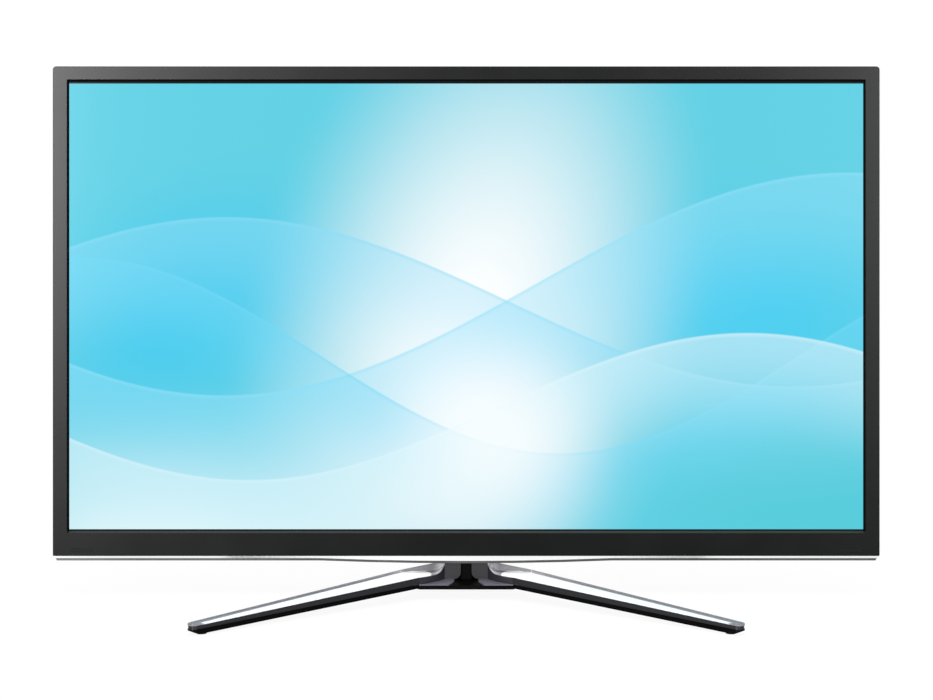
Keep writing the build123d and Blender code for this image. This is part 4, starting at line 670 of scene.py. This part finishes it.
# sprung contact strip: a thin bar with rounded edges whose free end is turned down
def contactStrip(row):
    straight = row["length"] * contactShape["straight"]
    axis, sign = (0, 1) if row["along"] == "X" else (2, -1)
    size = (straight, row["high"], row["wide"]) if axis == 0 else (row["wide"], row["high"], straight)
    bpy.ops.object.select_all(action="DESELECT")
    bpy.ops.mesh.primitive_cube_add(size=1, location=(0, 0, 0))
    strip = bpy.context.object
    strip.scale = size
    bpy.ops.object.transform_apply(location=True, rotation=True, scale=True)
    pickFaces(strip, lambda face: face.normal[axis] * sign > 0.9)
    step = [0, 0, 0]
    step[axis] = sign * row["length"] * contactShape["bendLong"]
    for drop, factor in contactShape["bends"]:
        step[1] = -row["high"] * drop
        growFaces(tuple(step), factor)
    bpy.ops.object.mode_set(mode="OBJECT")
    rounding = strip.modifiers.new("softEdges", "BEVEL")
    rounding.width = row["high"] * contactShape["rounding"]
    rounding.segments = 2
    bpy.ops.object.modifier_apply(modifier=rounding.name)
    return strip


for row in rows:
    shiftAxis = 2 if row["along"] == "X" else 0
    places = []
    for middle in row["middles"]:
        for number in range(row["count"]):
            place = list(middle)
            place[shiftAxis] += (number - (row["count"] - 1) / 2) * row["pitch"]
            places.append(place)
    finishPiece(joinAll(setOut(contactStrip(row), places), row["name"]), goldContact)

# rings and ferrules of the round sockets; faces is the axis that the open side looks along
ringShape = {"rim": 0.12, "lift": 0.2}
jackRing = {"radius": 0.0034, "bore": 0.00165, "thick": 0.0003, "deep": 0.0002, "faces": "Z"}
pinHole = {"radius": 0.0006, "bore": 0.0003, "thick": 0.0002, "deep": 0.00018, "faces": "Z"}
phoneFerrule = {"radius": 0.0029, "bore": 0.0018, "thick": 0.0003, "deep": 0.0002, "faces": "X",
                "at": (0.31905, 0.0779, 0.142)}


# ring or ferrule: a short turned piece with a stepped bore in its open face
def turnedRing(look):
    radius, thick = look["radius"], look["thick"]
    axis, sign, turn = (2, -1, 0) if look["faces"] == "Z" else (0, 1, quarterTurn)
    bpy.ops.object.select_all(action="DESELECT")
    bpy.ops.mesh.primitive_cylinder_add(vertices=32, radius=radius, depth=thick, location=(0, 0, 0),
                                        rotation=(0, turn, 0))
    ring = bpy.context.object
    bpy.ops.object.transform_apply(location=True, rotation=True, scale=True)
    pickFaces(ring, lambda face: face.normal[axis] * sign > 0.9)
    bpy.ops.mesh.inset(thickness=radius * ringShape["rim"])
    step = [0, 0, 0]
    step[axis] = sign * thick * ringShape["lift"]
    bpy.ops.transform.translate(value=step)
    bpy.ops.mesh.inset(thickness=radius * (1 - ringShape["rim"]) - look["bore"])
    step[axis] = -sign * look["deep"]
    growFaces(tuple(step))
    bpy.ops.object.mode_set(mode="OBJECT")
    return ring


jackRingYZ = (0.0794, 0.08638)
jackRings = [
    {"name": "videoRing", "x": 0.22611, "colours": ("c9a412", "dcb922")},
    {"name": "leftSoundRing", "x": 0.24011, "colours": ("d8d8d6", "e6e6e4")},
    {"name": "rightSoundRing", "x": 0.25411, "colours": ("a3161a", "b82126")},
]
for ringLook in jackRings:
    ring = joinAll(setOut(turnedRing(jackRing), [(ringLook["x"], *jackRingYZ)]), ringLook["name"])
    dyed = grained(ringLook["name"] + " moulded nylon", ringLook["colours"], (0.35, 0.45), grainMm=0.6,
                   reliefMm=0.004)  # plain bright colour with a soft shine
    finishPiece(ring, dyed)

# fifteen pin holes in three lines, each line half a pitch further over
vgaPins = {"middle": (0.16854, 0.0802, 0.08892), "columns": 5, "lines": 3, "pitch": 0.00229, "lineGap": 0.00198}
pinPlaces = []
for line in range(vgaPins["lines"]):
    fromMiddle = line - (vgaPins["lines"] - 1) / 2
    for column in range(vgaPins["columns"]):
        pitches = column - (vgaPins["columns"] - 1) / 2 + fromMiddle / 2
        pinPlaces.append((vgaPins["middle"][0] + pitches * vgaPins["pitch"],
                          vgaPins["middle"][1] + fromMiddle * vgaPins["lineGap"], vgaPins["middle"][2]))
finishPiece(joinAll(setOut(turnedRing(pinHole), pinPlaces), "vgaPinHoles"), goldContact)
phoneRing = joinAll(setOut(turnedRing(phoneFerrule), [phoneFerrule["at"]]), "headphoneRing")
finishPiece(phoneRing, finishes["socketShell"])
print("socket details are in")


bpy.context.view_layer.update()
